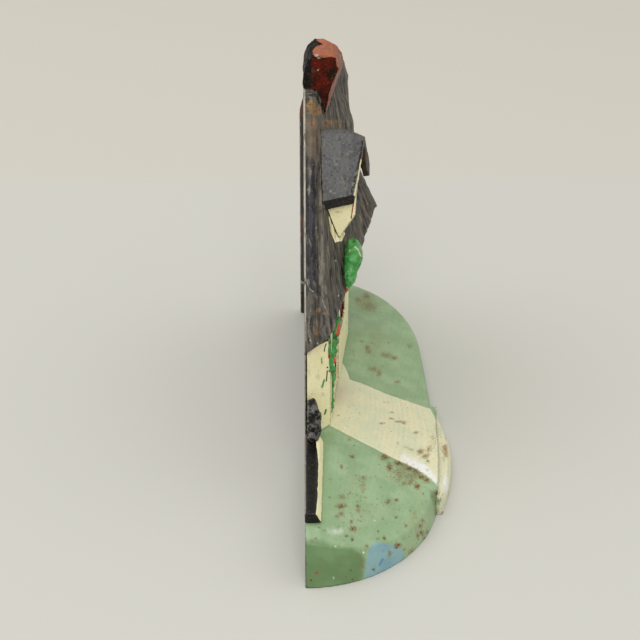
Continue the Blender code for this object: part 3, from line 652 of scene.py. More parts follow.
def finish(skin, slot):
    """Paints the skin's points, bends its far end back and puts it in place of its nodes."""
    bend = skin.bend()
    skin.paint("ridge", np.clip(bend / RIDGE_BEND, 0, 1))
    skin.paint("hollow", np.clip(-bend / RIDGE_BEND, 0, 1))
    skin.paint("back", (skin.places[:, 1] < BACK_FACE).astype(float))
    paint, marks = PAINTS[slot]
    for name in ("rust", *marks):
        skin.paint(name, np.zeros(len(skin.places)))
    skin.places[:, 1] -= FAR_END_BACK * (rise(skin.x, *FAR_END) * (1 - rise(skin.z, *FAR_END_TOP)))
    skin.places[:, 2] = np.maximum(skin.z, 0.0)
    skin.store()
    mesh = skin.mesh
    for name, values in skin.paints.items():
        attribute = mesh.attributes.new(name, "FLOAT", "POINT")
        attribute.data.foreach_set("value", values.astype(np.float32))
    mesh.materials.append(paint)
    if slot in HOLLOW_BACKED:
        mesh.materials.append(BARE)
        mesh.polygons.foreach_set("material_index", iron_faces(skin))
    mesh.shade_smooth()
    piece = added(skin.name, mesh)
    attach(piece, "root")
    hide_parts(*skin.nodes)


# The path's outline in the photograph, run on past its front end.
PATH_AREA = [(322, 420), (329.7, 425.8), (348.7, 435.3), (368.7, 445.8), (385.5, 454.7), (401.3, 462.1),
    (418.2, 470), (429.7, 477.9), (440.3, 487.4), (441, 520), (475, 520), (475, 425), (438.2, 424.2),
    (435, 417.9), (430.8, 409.5), (419.2, 405.3), (406.6, 401), (387.6, 394.7), (368.7, 386.3),
    (349.7, 379.5), (347.6, 372.6), (342, 362), (332, 362)]
# Painted highlight along the path's front edge.
PATH_EDGE_HIGHLIGHT = [(403, 453.5), (412, 457), (423, 462.5), (432, 469.5), (437.5, 478), (440.5, 487), (432, 480.5),
    (420, 472.5), (409, 466), (401, 460)]
LAWN_RUST = [(384.5, 456.8, 4, 3, 1), (389.7, 467.4, 3, 4, .9), (398.7, 463.2, 4.5, 2.4, 1),
    (408.7, 468.4, 5, 2.4, 1), (416, 470.5, 4, 2.2, .95), (421.3, 476.8, 3.4, 2.4, 1),
    (426.6, 480, 3, 2.4, .95), (417, 486.3, 2.6, 1), (410.8, 482, 5, 3, .62), (404, 464.5, 9, 3, .7),
    (417, 473.5, 8, 3.6, .7), (411, 476, 8, 4, .62), (437, 493.7, 1.8, 3.4, 1), (400, 472, 8, 5, .55),
    (398, 478, 7, 4, .5), (352.4, 456.8, 2.6, 2, .9), (341.3, 466.8, 1.5, 1.8, .8),
    (363.4, 477.9, 3.4, 2.6, .62), (363, 486, 3, 6, .5), (349.2, 439.5, 1.8, 1.5, .6),
    (342.4, 496.8, 4, 2.4, .66), (360.3, 299.6, 2.5, 1.8, .72), (369.4, 296, 4, 3, .7),
    (372, 306.7, 7, 4, .6), (361.7, 341, 1.6, 1.4, .6), (367.3, 347.4, 2.2, 2, .8), (368.7, 351.6, 2.4, .7),
    (387.6, 355.8, 4, 2, .72), (394, 357.9, 3.5, 2, .72), (384, 354.5, 3, 1.6, .66), (372.9, 369, 4, 1.8, .7),
    (379.2, 373.7, 2.4, 3.6, .72), (376, 371, 3, 2, .6), (397, 382, 2.6, 1.8, .6),
    (409.7, 346.3, 2.4, 2.6, .5), (404.5, 483, 2.2, 1.8, .7), (396.6, 500, 1.8, 1.4, .9),
    (388.7, 501, 2.2, 1.8, .9), (387, 503, 2, 1.4, .7), (358.2, 506.3, 2, .9), (358, 511, 1.8, 1.6, .8),
    (340.3, 506.3, 3.4, 2.4, 1), (345, 505.5, 2, 1.8, .8), (341.3, 513.7, 2.4, 2, .85), (337, 516.3, 1.6, .8),
    (353.4, 529, 3.4, 2.4, .95), (351.8, 522, 1.5, .85), (346.6, 535.8, 2, 1.2, .9),
    (352.4, 539.5, 1.4, 2, .9), (396, 517.4, 2, 1.4, .8), (406, 525.8, 1.6, 1.8, .75),
    (422.4, 520.5, 1.6, 1.8, .8), (420.3, 526.3, 1.8, .85), (421.3, 532.6, 2.2, .95), (418, 535.8, 1.6, .85),
    (424.5, 538.4, 2, .85), (427.6, 531.6, 1.2, 1.6, .85), (384.5, 538.4, 1.6, 1.8, 1), (377.6, 539, 1.2, .9),
    (398, 545.3, 3, 2.2, 1), (396, 547.9, 1.8, 1.2, .95), (404, 549.5, 1.2, .8), (416, 551.6, 7, 3.6, .62),
    (389.7, 553.7, 1.8, 2.6, .8), (373.4, 569.5, 1.6, 1.2, 1), (366.6, 545.8, 1.8, 1.6, .7),
    (361, 562, 2.6, 9, .45), (320.3, 559, 1.3, 1, .9), (316.6, 573, 2.2, 1), (311.8, 541, 1.1, .9),
    (316.6, 538.4, 1.1, .8), (324.5, 530.5, 1.1, .8), (352.4, 579.5, 1.9, 1.4, 1), (346, 576.3, 1.2, .85),
    (336.6, 569, 1.1, .8), (310.8, 580, 2.4, 1.5, .8), (362.9, 566.3, 1.1, .8), (438, 501, 1.4, 4, .7),
    (432, 497, 1.4, 1.6, .55), (423, 494, 1.4, .6), (436, 512, 1.4, 4, .55), (317, 513, 1.1, 2.2, .9),
    (330, 480, 2, .4)]
PATH_RUST = [(381.5, 423.4, 2.6, 1.2, .95), (391.5, 418.8, 2.6, 1.2, .85), (398, 421.5, 3.5, 1.3, .9),
    (404.5, 423.2, 2.4, 1.5, 1), (391.5, 412.3, 2.2, 1.2, .8), (416, 432.6, 2.6, 1.6, .85),
    (411, 449.4, 2.6, 1.4, .8), (420, 452, 3, 2.4, .95), (424.5, 456.5, 3, 2.6, 1),
    (428.5, 450.5, 2.6, 3, .75), (428, 461, 2, 1.6, .8), (406, 447, 2, 1.4, .6), (398, 443.5, 1.6, .55),
    (434, 440, 4, 12, .42), (437, 430, 3, 8, .45), (338.5, 415.5, 2.2, 1.4, .55), (386, 402, 4, 1, .5),
    (349, 406, 2, .35), (427.5, 470.5, 1.5, 1.2, .7)]
SEAM_RUST = line([(436.5, 412), (440, 425), (441.3, 440), (441.2, 470), (440.6, 500)],
    .7, .42) + [(444.5, 448, 3, 5, .8), (446, 455, 2.6, 4, .8), (443.5, 459, 2.4, .7), (446, 438, 2, 3, .5)]
OLIVE_CLOUDS = [(368, 302, 11, 8, .8), (375, 345, 16, 22, .35), (372, 515, 22, 12, .3),
    (415, 520, 10, 22, .42), (352, 480, 10, 20, .3)]
AMBER_CLOUDS = [(421, 451, 5, 3.2, .68), (427, 455, 4, 3, .6), (430, 448, 4, .5), (410, 448.5, 5, 1.8, .45),
    (402, 421.8, 7, 2.2, .55), (382, 423.4, 4, 1.6, .55), (391.5, 418.8, 3, 1.6, .5), (417, 432.6, 4, 2, .45),
    (445.5, 450, 2.6, 7, .74), (408, 467, 9, 3.2, .42), (420, 476, 7, 3.2, .42), (417, 486, 3.6, 3.4, .55),
    (340.5, 506, 4, 2.6, .4), (353, 530, 3.2, 2.6, .4), (398, 545, 3.2, 2.4, .5), (389, 502, 3, 2.2, .4)]
# Painted shade on the lawn's left end, where its slope turns away from the light.
SHADED_END = [(298, 543), (318, 539), (333, 545), (353, 547), (366, 558), (364, 577), (352, 600), (298, 600)]
BLUE_PATCH = [(368.7, 548.4), (373, 543), (376, 540), (381.3, 543.2), (395, 544.2), (401.3, 547.4),
    (404.5, 553.7), (406, 562), (391, 574), (372, 583), (363.5, 582), (365.5, 563.2)]
DEEP_BLUE = line([(382.6, 559.5), (380, 564.5)], 1.6, .95) + [(383.5, 551, 2, 3, .5)]
# Painted glints, a painted highlight on the lawn's left shoulder and one down the step.
HIGHLIGHT_MARKS = [(335.5, 546.3, .9, 1), (363.4, 552.6, .9, 1), (374.5, 520.5, .9, 1), (333.4, 577.9, .9, 1),
    (345, 428, .9, 1), (318, 480, .9, 1), (336, 531.5, 12, 4.5, .45), (446, 484, 3, 11, .9)]
# Where fine rust specks gather on the lawn: column, row, spread and number.
SPECKLED = [(357, 500, 9, 22), (352, 520, 8, 20), (425, 528, 9, 22), (400, 478, 10, 18), (330, 540, 14, 16),
    (385, 520, 22, 20), (345, 480, 14, 12), (375, 350, 14, 10), (415, 505, 14, 12), (320, 560, 12, 10)]
# The ranges of a fine speck's width, height and strength.
FINE_RANGES = ((0.6, 1.1), (0.5, 0.9), (0.6, 1.0))
RUST_GROWTH = 1.25

# The step's back edge: (depth, slant, bow) and (left end, length). Its paint's ends and top.
STEP_BACK = (56.4, 0.052, 1.2)
STEP_LENGTH = (46.5, 63.5)
STEP_ENDS = (45.2, 112.6)
STEP_TOP = 9.8
PATH_END = 113.0
PATH_BY_HOUSE = 40.0
PATH_RISE = 0.22
# Where a surface counts as a top, and how often that is blurred and the top evened.
LEVEL = 0.6
LEVEL_BLURS = 8
TOP_ROUNDS = 80
# The base's front stands back from a column on, by (rows, depths).
SET_BACK_COLUMN = (436, 4.5)
SET_BACK = ((400, 424, 436, 446, 460, 506, 512), (2.2, 2.1, 1.5, 1.0, 0.8, 0.7, 0.0))


def fine_specks():
    """The fine rust specks on the lawn."""
    picker = random.Random(17)
    return [(picker.gauss(x, spread), picker.gauss(y, spread * 0.8),
             *(picker.uniform(*limits) for limits in FINE_RANGES))
            for x, y, spread, count in SPECKLED for _ in range(count)]


def build_base():
    """The lawn, its path and the path's step, one continuous surface."""
    nodes = ["lawn_left", "lawn_right", "garden_path", "path_step"]
    skin = skin_of("lawn_and_path", voxel=0.65, grow=0.45, rounds=8, nodes=nodes)
    skin.push(-0.3)
    top = turned(skin.normals()[:, 2], LEVEL, 5)
    for _ in range(LEVEL_BLURS):
        top = skin.neighbours(top)
    top = rise(top, LEVEL, 0.3)
    for _ in range(TOP_ROUNDS):
        skin.places[:, 2] += top * (skin.neighbours(skin.z) - skin.z)
    x, d, z = skin.places.T
    back, slant, bow = STEP_BACK
    left, length = STEP_LENGTH
    behind = back + slant * (x - left) + bow * np.sin(math.pi * np.clip((x - left) / length, 0, 1))
    step = smooth(d - behind + 0.6) * (x > STEP_ENDS[0]) * (x < STEP_ENDS[1]) * (z < STEP_TOP)
    path = region(skin, PATH_AREA, 0.9, wobble=0.5, everywhere=True)
    path = np.maximum(path * ((x < PATH_END) | (d < PATH_BY_HOUSE)), step)
    column, row = in_picture(skin.places)
    skin.places[:, 1] -= np.interp(row, *SET_BACK) * rise(column, *SET_BACK_COLUMN)
    skin.push(0.18 * skin.bumps(16.0, 3) + 0.04 * skin.bumps(2.6, 5) + PATH_RISE * path)
    skin.paint("path", path)
    # Painted shade on the left end's slope.
    skin.paint("shade", 0.9 * region(skin, SHADED_END, 6.0))
    skin.paint("blue", 0.88 * region(skin, BLUE_PATCH, 3.0, wobble=2.6))
    skin.dab("deep_blue", DEEP_BLUE)
    # Painted glints and highlights on the lawn, the path and the step.
    skin.dab("painted_highlight", HIGHLIGHT_MARKS)
    skin.paint("painted_highlight", 0.85 * region(skin, PATH_EDGE_HIGHLIGHT, 4.0, wobble=1.4))
    skin.paint("olive", spots(skin, OLIVE_CLOUDS) * (1 - path))
    skin.dab("amber", AMBER_CLOUDS)
    grown = [(x, y, *(RUST_GROWTH * value for value in size), strength)
             for x, y, *size, strength in LAWN_RUST]
    skin.paint("rust", spots(skin, grown + fine_specks()) * (1 - 0.7 * path))
    skin.paint("rust", 0.72 * spots(skin, PATH_RUST) * path)
    skin.paint("rust", 0.66 * spots(skin, SEAM_RUST))
    skin.paint("rust", scatter(skin, 110, (0.7, 2.2), 31))
    finish(skin, "lawn_paint")


# By row: how far the kerb's front stands back, and the column where its black top ends.
KERB_SET_BACK = ((498, 522), (1.0, 1.1))
KERB_EDGE = ((440, 445, 466, 498, 520), (317.6, 318.8, 320.9, 319.9, 318.0))
KERB_BLACK_FROM = 12.0
KERB_FLANK_ROW = 530
KERB_BROWN = [(314.5, 437.5, 2, 1.4, 1)]


def build_kerb():
    """The kerb wall: black on top, cream in front, with an uneven edge."""
    skin = skin_of("garden_wall", voxel=0.35, grow=0.1, rounds=5)
    skin.push(0.2 + 0.12 * skin.bumps(3.0, 21))
    column, row = in_picture(skin.places)
    skin.places[:, 1] -= np.interp(row, *KERB_SET_BACK) * rise(skin.d, 2.5, 3)
    edge = np.interp(row, *KERB_EDGE) + 0.6 * skin.bumps(3.4, 22, 2)
    flank = (skin.normals()[:, 0] < -0.6) & (row < KERB_FLANK_ROW)
    black = smooth(0.5 - (column - edge) / 1.2) * (skin.z > KERB_BLACK_FROM)
    skin.paint("black", np.maximum(black, flank))
    skin.dab("brown", KERB_BROWN)
    finish(skin, "cream_paint")


# Marks on the plastered walls
VINE_PAINT = [(328.2, 338), (333.5, 338), (333.5, 374), (330.4, 372), (328.8, 366), (328.0, 352)]
# Painted shadow under the eave, over the top of the gable.
GABLE_SHADE = [(304, 356), (312, 348.3), (328, 341), (334, 332), (325, 330), (304, 345)]
GABLE_BLACK = lines([([(326, 344), (324.8, 347), (324.2, 351)], .7), ([(327.2, 371), (326.2, 381)], .8),
    ([(306.2, 350), (306.2, 436)], 1.1)]) + [(327.3, 367.3, 1, 1)]
GABLE_GREEN = lines([([(321.3, 358.5), (321.8, 363)], 0.8), ([(324, 380), (322, 386.5)], 1.2), ([(325.8, 410),
    (324.6, 413.5)], 1.2)])
GABLE_BROWN = [(318, 377, 4, .4), (309, 372, 2, 9, .35), (323, 395, 3, 4, .3)]
GABLE_RED = [(329.6, 342, 1.3, 2.2, 1), (329, 355.8, 1.2, 3.4, 1)]
# Where the house's left corner ends.
LEFT_CORNER = 82


def build_walls():
    """The plastered walls, with the brush's stray strokes on the gable."""
    for name, voxel in (("gable_wall", 0.3), ("front_wall", 0.45), ("end_wall", 0.45)):
        skin = skin_of(name, voxel, grow=0.05)
        skin.push(0.16 + 0.10 * skin.bumps(5.0, 32) + 0.03 * skin.bumps(1.6, 33, 2))
        if name != "end_wall":
            skin.paint("green", region(skin, VINE_PAINT, 0.8, wobble=0.6) * (skin.x < LEFT_CORNER))
        if name == "gable_wall":
            # Painted shadow under the eave.
            skin.paint("black", 0.78 * region(skin, GABLE_SHADE, 0.8, wobble=0.4))
            skin.dab("red", GABLE_RED)
            skin.dab("black", GABLE_BLACK)
            skin.dab("green", GABLE_GREEN)
            skin.push(0.25 * skin.paints["green"] + 0.15 * skin.paints["black"])
            skin.dab("brown", GABLE_BROWN)
        skin.paint("rust", scatter(skin, 14, (0.5, 1.4), 33))
        finish(skin, "cream_paint")


def build_timbers():
    """The black timber frame of the end gable."""
    names = [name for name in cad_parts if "beam" in name or "post" in name or "brace" in name]
    for name in sorted(names):
        skin = skin_of(name, voxel=0.35, rounds=4)
        skin.push(0.32 + 0.10 * skin.bumps(2.4, 41))
        finish(skin, "black_paint")


def set_back(skin, depth):
    """Moves forward faces back by a depth, so that the photograph's view doesn't show them."""
    skin.places[:, 1] -= depth * turned(skin.normals()[:, 1], 0.0, 4)


def build_windows():
    """The three windows, each a red frame around black panes, and the red door."""
    for name in ("dormer_window", "front_window", "end_window"):
        skin = skin_of(name + "_frame", voxel=0.25)
        skin.push(0.16 + 0.05 * skin.bumps(1.8, 42))
        if name == "front_window":
            set_back(skin, 1.1)
        finish(skin, "window_paint")
        skin = skin_of(name + "_panes", voxel=0.35, rounds=2)
        skin.push(0.32)
        finish(skin, "black_paint")
    skin = skin_of("front_door", voxel=0.3, rounds=2)
    set_back(skin, 0.9)
    skin.push(0.25 + 0.04 * skin.bumps(1.8, 43))
    finish(skin, "window_paint")


# Rows of the photograph to a millimetre of height, at the left end of the eave.
ROWS_PER_MM = 1.94
# The front slope's measures at its left verge, and their change to its right one.
EAVE_HEIGHT = (73, 18)
SLOPE_RUN = (71.5, -32.5)
SLOPE_DEPTH = (-5, -10.4)
SLOPE_HEIGHT = (79.2, -22.6)
EAVE_LEFT = 75
EAVE_LENGTH = 81
SHARE_ROUNDS = 4
# The roof's right end: its start, slant and height, and its strands' way.
END_ROOF = (189, 0.17, 104)
END_STRANDS = (-14.0, 10.0, 42.0)
# How far the strands sway, and over what size.
SWAY = (1.5, 6.5)


def roof_share(places):
    """How far each place is across the front slope, from its left verge at 0 to its right one at 1."""
    x, z = places[:, 0], places[:, 2]
    across = np.full(len(x), 0.5)
    for _ in range(SHARE_ROUNDS):
        up = (z - EAVE_HEIGHT[0] - EAVE_HEIGHT[1] * across) / (SLOPE_HEIGHT[0] + SLOPE_HEIGHT[1] * across)
        across = (x - EAVE_LEFT - SLOPE_RUN[0] * up) / (EAVE_LENGTH + SLOPE_RUN[1] * up)
        across = np.clip(across, 0.0, 1.0)
    return across


def strands(places, size, seed, stretch=0.15):
    """Noise drawn out along the thatch, from eave to ridge."""
    across = roof_share(places)
    along = np.stack([left + change * across for left, change in (SLOPE_RUN, SLOPE_DEPTH, SLOPE_HEIGHT)], -1)
    start, slant, height = END_ROOF
    along[places[:, 0] > start + slant * (places[:, 2] - height)] = END_STRANDS
    along = along / np.linalg.norm(along, axis=1)[:, None]
    waved = places + SWAY[0] * np.stack([noise(places, SWAY[1], seed + axis) for axis in range(3)], -1)
    run = np.einsum("ij,ij->i", waved, along)
    return layered(waved - (1 - stretch) * run[:, None] * along, size, seed, 2)


LEFT_ROLL = [(304, 156), (312, 157), (315, 162), (315.6, 250), (317.5, 300), (318, 330), (312, 346),
    (304, 350)]
THATCH_BROWN = [(306, 126, 9, 12, .7), (313, 137, 8, 22, 1), (315, 152, 4, 5, .9), (309, 170, 3, 14, .5),
    (317, 225, 2.4, 22, .5), (365, 205, 3, 12, .6), (318, 324, 2.4, 5, .95), (316.6, 331, 2.6, 4, .95),
    (308, 268, 1.8, 5, .9), (322, 330, 2, 3, .6), (350, 180, 3, 5, .3), (330, 126, 9, 5, .7)]
THATCH_PALE = lines([([(318.2, 236), (318.9, 254), (319.6, 268), (321.7, 276.5), (323, 282), (322, 290.5),
    (322, 299.6), (325.2, 307.4), (328.7, 314.4)], 0.8, 0.62), ([(306.6, 279.3), (308, 285), (309.7, 289),
    (312.6, 291)], 0.9, 0.6), ([(309.4, 292), (308.3, 299)], 0.9, 0.45), ([(347, 84), (350.2, 104.5)],
    0.8, 0.5), ([(341, 110), (345, 126)], 1.6, 0.5)])
THATCH_PALE += [(322.7, 260.4, 1, 1), (335.4, 260.7, 1, 1), (338.6, 295.6, 1, 1), (310, 340.4, 1, 1),
    (317.5, 343.5, 1, 1), (313, 291.2, 1, 1), (307.8, 105.5, 1, 1), (308.5, 190, 1, 1), (328, 250, 1, 1),
    (316, 228, 1, 1)]
# Black lines on the left verge, painted shade along the chimney's foot, and a darker patch on the thatch
# beside the chimney.
THATCH_BLACK_AND_SHADE = lines([([(316, 236), (316, 254), (316.8, 261), (319.6, 279), (319.9, 285), (320.3, 293)],
    .7, .8), ([(310, 94.5), (316, 96), (320, 102), (323.6, 113)], 1.7, 1)]) + [(345, 110, 8, 16, .42)]
THATCH_RUST = [(311, 106, 4.5, 5, 1), (315, 112, 5, 3.4, .9), (319, 110, 2.4, 5, .8), (326, 123, 3.4, .95),
    (334, 122, 5, 2.6, .6), (318.2, 309.8, 1.5, 1), (325.2, 313.7, 2, 1.6, .85), (313.5, 120, 2, 6, .55),
    (317, 333, 2, 3, .5)]
# The dormer's cheek is painted on the thatch within a reach of this length.
CHEEK = [(328.7, 216.5), (335, 211), (345, 209), (352, 203.5), (356, 214), (352, 223), (346, 232), (342, 241),
    (335, 242.5), (331, 232)]
CHEEK_LENGTH = 112
CHEEK_REACH = 12
# The thatch's cut edge at the back is pale above this height.
CUT_HEIGHT = 66
# The eave's outer end is lifted to these (columns, rows).
EAVE_END = ((305, 307, 325, 331), (354.5, 353.2, 341.2, 335.8))
# The roof's bulges beside the chimney: how far, and the rows where each starts and ends.
BESIDE_CHIMNEY = (332, 12)
BULGES = ((1.9, (98, 26), (138, 12)), (-0.8, (74, 12), (92, 12)))
CHIMNEY_SIDE = 110
# Where the strands are fainter, and the row where the left verge's paint fades.
CALM_THATCH = [(312, 138, 9, 24, 1)]
VERGE_FADE = (262, 50)


def build_thatch():
    """The front slope and the rolls along its verges, one surface of wavy strands."""
    skin = skin_of("thatch", voxel=0.42, grow=0.22, nodes=["main_roof", "left_verge", "right_verge"])
    outer = 1.0 - inner_side(skin)
    edge = rise(skin.d, 0.0, 2.0)
    thick = strands(skin.places, 2.0, 51)
    thin = strands(skin.places, 0.95, 52, 0.22)
    skin.push(outer * edge * (0.05 + 0.5 * thick + 0.22 * thin) + 0.05 * skin.bumps(1.0, 53, 2))
    column, row = in_picture(skin.places)
    # The strands are painted lighter where they stand out and darker in the grooves between them: painted
    # highlight and painted shade.
    tuft = (thick + 0.8 * thin) / np.std(thick + 0.8 * thin)
    calm = outer * (1 - 0.6 * spots(skin, CALM_THATCH))
    skin.paint("strand", np.clip(0.45 * tuft - 0.05, 0, 0.9) * calm)
    skin.paint("black", np.clip(-0.45 * tuft - 0.12, 0, 0.8) * calm)
    skin.paint("verge", region(skin, LEFT_ROLL, 1.2, wobble=0.5) * (1 - 0.8 * rise(row, *VERGE_FADE)))
    skin.dab("brown", THATCH_BROWN)
    skin.dab("pale", THATCH_PALE)
    skin.paint("pale", 0.95 * (1 - rise(skin.d, 0.35, 0.5)) * (skin.z > CUT_HEIGHT))
    by_cheek = np.abs(skin.x - CHEEK_LENGTH) < CHEEK_REACH
    skin.paint("cream", region(skin, CHEEK, 0.8, wobble=0.5) * by_cheek)
    # Black lines, and painted shade at the chimney's foot.
    skin.dab("black", THATCH_BLACK_AND_SHADE)
    skin.dab("rust", THATCH_RUST)
    skin.paint("rust", scatter(skin, 40, (0.6, 2.0), 34))
    below = np.clip(row - np.interp(column, *EAVE_END), 0, 9)
    skin.places[:, 2] += below / ROWS_PER_MM * (skin.x < LEFT_CORNER)
    beside = rise(column, *BESIDE_CHIMNEY)
    bulge = sum(depth * (rise(row, *start) * (1 - rise(row, *end)) * beside) for depth, start, end in BULGES)
    skin.places[:, 1] += bulge * (skin.x > CHIMNEY_SIDE)
    finish(skin, "thatch_paint")


HOOD_LINE = [(362.4, 141), (361.4, 152), (358.6, 164), (354.4, 181), (350.8, 196)]
# The dormer's cream face beside the hood.
HOOD_EDGE = [(361.4, 160), (359.4, 172), (357, 184), (354.8, 195)]
# Painted glints on the hood's pitted panel.
HOOD_GLINTS = [(330.6, 191, 1, 1), (322, 202.5, 1.1, 1.3, .9), (320.5, 195, .9, 1.6, .7), (335, 165, .7, .7),
    (343.6, 143.5, .7, .7)]
HOOD_LEFT_END = 117.5
HOOD_FRONT_TOP = 134
HOOD_BROWN = line([(353, 132.5), (361, 136.5), (366, 146), (367.6, 160)], 1.8, .8)
# How far the hood's outer corner hangs down, and from which column and row on.
HOOD_DROP = 4.6
HOOD_DROP_COLUMN = (361, 3)
HOOD_DROP_ROW = (150, 12)
DORMER_RED = line([(353.3, 204), (351.2, 218)], .8)
DORMER_BROWN = [(338, 212, 4, 1.6, .5)]


def build_dormer():
    """The dormer: its thatched hood, and the cream walls below."""
    skin = skin_of("dormer_roof", voxel=0.3, grow=0.1, rounds=6)
    leftward, forward, upward = (skin.normals() * (-1, 1, 1)).T
    grain = skin.bumps(1.1, 54, 2)
    skin.push(0.12 + 0.16 * grain + 0.10 * skin.bumps(5.0, 55))
    grain = grain / np.std(grain)
    flat = turned(leftward, 0.35, 6) * turned(upward, 0.35, 6)
    skin.paint("strand", np.clip(0.5 * grain - 0.1, 0, 0.8) * flat)
    skin.paint("black", np.clip(-0.35 * grain - 0.15, 0, 0.5))
    skin.dab("black", line(HOOD_LINE, 1.5))
    skin.paint("stone", flat)
    skin.paint("black", turned(leftward, 0.82, 10) * (skin.x < HOOD_LEFT_END))
    skin.paint("black", turned(forward, 0.6, 8) * (skin.z < HOOD_FRONT_TOP))
    skin.paint("black", turned(-upward, 0.3, 8))
    # Painted glints.
    skin.dab("pale", HOOD_GLINTS)
    skin.dab("brown", HOOD_BROWN)
    skin.dab("cream", line(HOOD_EDGE, 1.2))
    column, row = in_picture(skin.places)
    skin.places[:, 2] -= HOOD_DROP * rise(column, *HOOD_DROP_COLUMN) * rise(row, *HOOD_DROP_ROW)
    finish(skin, "thatch_paint")
    skin = skin_of("dormer_walls", voxel=0.3, grow=0.1, rounds=4)
    skin.push(0.42 + 0.10 * skin.bumps(4.0, 35))
    skin.dab("red", DORMER_RED)
    skin.dab("brown", DORMER_BROWN)
    finish(skin, "cream_paint")


STACK_TOP = [(313, 36), (335, 40), (341, 50), (344, 62), (342, 72), (337, 66), (336, 57.5), (331, 56.5),
    (322, 58), (313.5, 54.5), (312, 50), (316, 46.5), (323, 44.5), (317.5, 41)]
# Darker brown patches on the stack's left face.
STACK_DARK_BROWN = [(334, 72, 4.4, 6, 1), (331, 79, 3.4, 3.6, .9), (328, 62, 2, 5, .5), (322, 88, 4, 6, .45)]
STACK_FRONT = [(335.8, 53.6), (339, 68.3), (334.6, 79.7), (330.9, 87.4), (326.6, 106.5), (324.5, 114),
    (325.6, 119), (336, 104), (340, 93), (343, 75), (345, 55)]
STACK_BACK = [(301, 95), (301, 60), (303.5, 48), (308, 38), (315.5, 33), (316.5, 40.5), (323, 44.3),
    (317, 45.4), (312.8, 50), (311.2, 57), (310.9, 87), (311.5, 95)]
STACK_CHIPS = [(316.5, 55.5, 2.6, 1.6, 1), (319, 58, 2.4, 1.2, .7), (318, 70, .9, 1), (309.6, 58, .9, 4, .45),
    (331.5, 59, 1, 4, .35)]
STACK_SHADE = line([(309, 93.5), (315, 94.5), (319.5, 99.5), (323.3, 112)], 1.6)


def build_chimney():
    """The stack: glossy red on its left side, salmon over the top, with chips and darker brown patches."""
    skin = skin_of("chimney_stack", voxel=0.32, grow=0.1, rounds=8)
    skin.push(0.12 + 0.45 * skin.bumps(3.4, 61) + 0.2 * skin.bumps(1.3, 62, 2))
    skin.paint("salmon", region(skin, STACK_TOP, 1.0, wobble=1.2, everywhere=True))
    skin.dab("dark_brown", STACK_DARK_BROWN)
    skin.paint("tan", region(skin, STACK_FRONT, 0.9, wobble=0.8, everywhere=True))
    skin.paint("black", region(skin, STACK_BACK, 0.9, wobble=0.8, everywhere=True))
    skin.dab("black", STACK_SHADE)
    skin.dab("pale", STACK_CHIPS)
    finish(skin, "brick_paint")


# How many flowers each plant has on its hidden sides, and the ones in view.
FLOWERS = {"climbing_vine": (9, lines([([(346.6, 292), (346.2, 301)], 1.6), ([(339, 325), (337.5, 335)],
    1.9)]) + [(336, 338, 1.6, 2, .9), (330.6, 341, 1.8, 1), (329, 355.8, 1.5, 4, 1),
    (335.4, 360.5, 1.8, 4.5, 1)]), "rose_clump": (12, [(347, 289, 1.6, 3, .9)]), "end_shrub": (8, [])}
# Painted highlights on the rose clump: a lit arc along its edge and a bright patch.
ROSE_HIGHLIGHTS = line([(355, 247), (358.5, 250), (361, 256)], .9, .9) + [(349.7, 250.5, 1.6, .8),
    (351, 270, 1, 4, .5)]
# Painted highlights on the tops of the black bush's lobes.
BUSH_HIGHLIGHTS = [(311, 412, 5, 3, .5), (313, 424, 5, 3, .45), (309, 406, 1, 2, .5)]
SHRUB_BACK = 2.8
# The vine's foot and height, and its middle line: start, sweep, sway and turns.
VINE_HEIGHTS = (24.5, 53)
VINE_LINE = (84.8, 12, 0.9, 9)
# The front wall behind the vine: its depth at a length, and its slant.
VINE_WALL = (11.2, 81, 0.133)
VINE_GIRTH = ((24, 26.5, 29.5, 32.5, 36, 41, 46, 52, 63, 68, 72, 80),
    (0.3, 1.1, 1.2, 0.5, 0.5, 0.6, 0.9, 1.15, 1.1, 0.7, 0.35, 0.45))
# The vine's lean: from and up to which height, how far left, and at what depth.
LEAN_FROM = (44, 8)
LEAN_UP_TO = (66, 7)
LEAN_LEFT = 4.8
LEAN_DEPTHS = (10.7, 1.5, 12.6)
VINE_LOW = 30


def leafy(skin, size, seed):
    """Ridged noise, like overlapping leaves."""
    small = np.abs(noise(skin.places, size * 0.55, seed + 5))
    return 1 - 2.2 * np.abs(noise(skin.places, size, seed)) - 0.5 * small


def shape_vine(skin):
    """Thins the vine's stem, and leans it over the house's left corner."""
    x, d, z = skin.places.T.copy()
    foot, height = VINE_HEIGHTS
    t = np.clip((z - foot) / height, 0, 1)
    start, sweep, sway, turns = VINE_LINE
    centre = start + sweep * t ** 2 + sway * np.sin(turns * t)
    depth, length, slant = VINE_WALL
    wall = depth + slant * (x - length)
    girth = np.interp(z, *VINE_GIRTH)
    lean = rise(z, *LEAN_FROM) * (1 - rise(z, *LEAN_UP_TO))
    skin.places[:, 0] = centre + (x - centre) * girth - LEAN_LEFT * lean
    hugging = wall + (d - wall) * girth
    outer, spread, middle = LEAN_DEPTHS
    skin.places[:, 1] = hugging + lean * (outer + spread * (d - middle) - hugging)
    skin.places[:, 2] = np.where(z < VINE_LOW, VINE_LOW - (VINE_LOW - z) * 0.6, z)


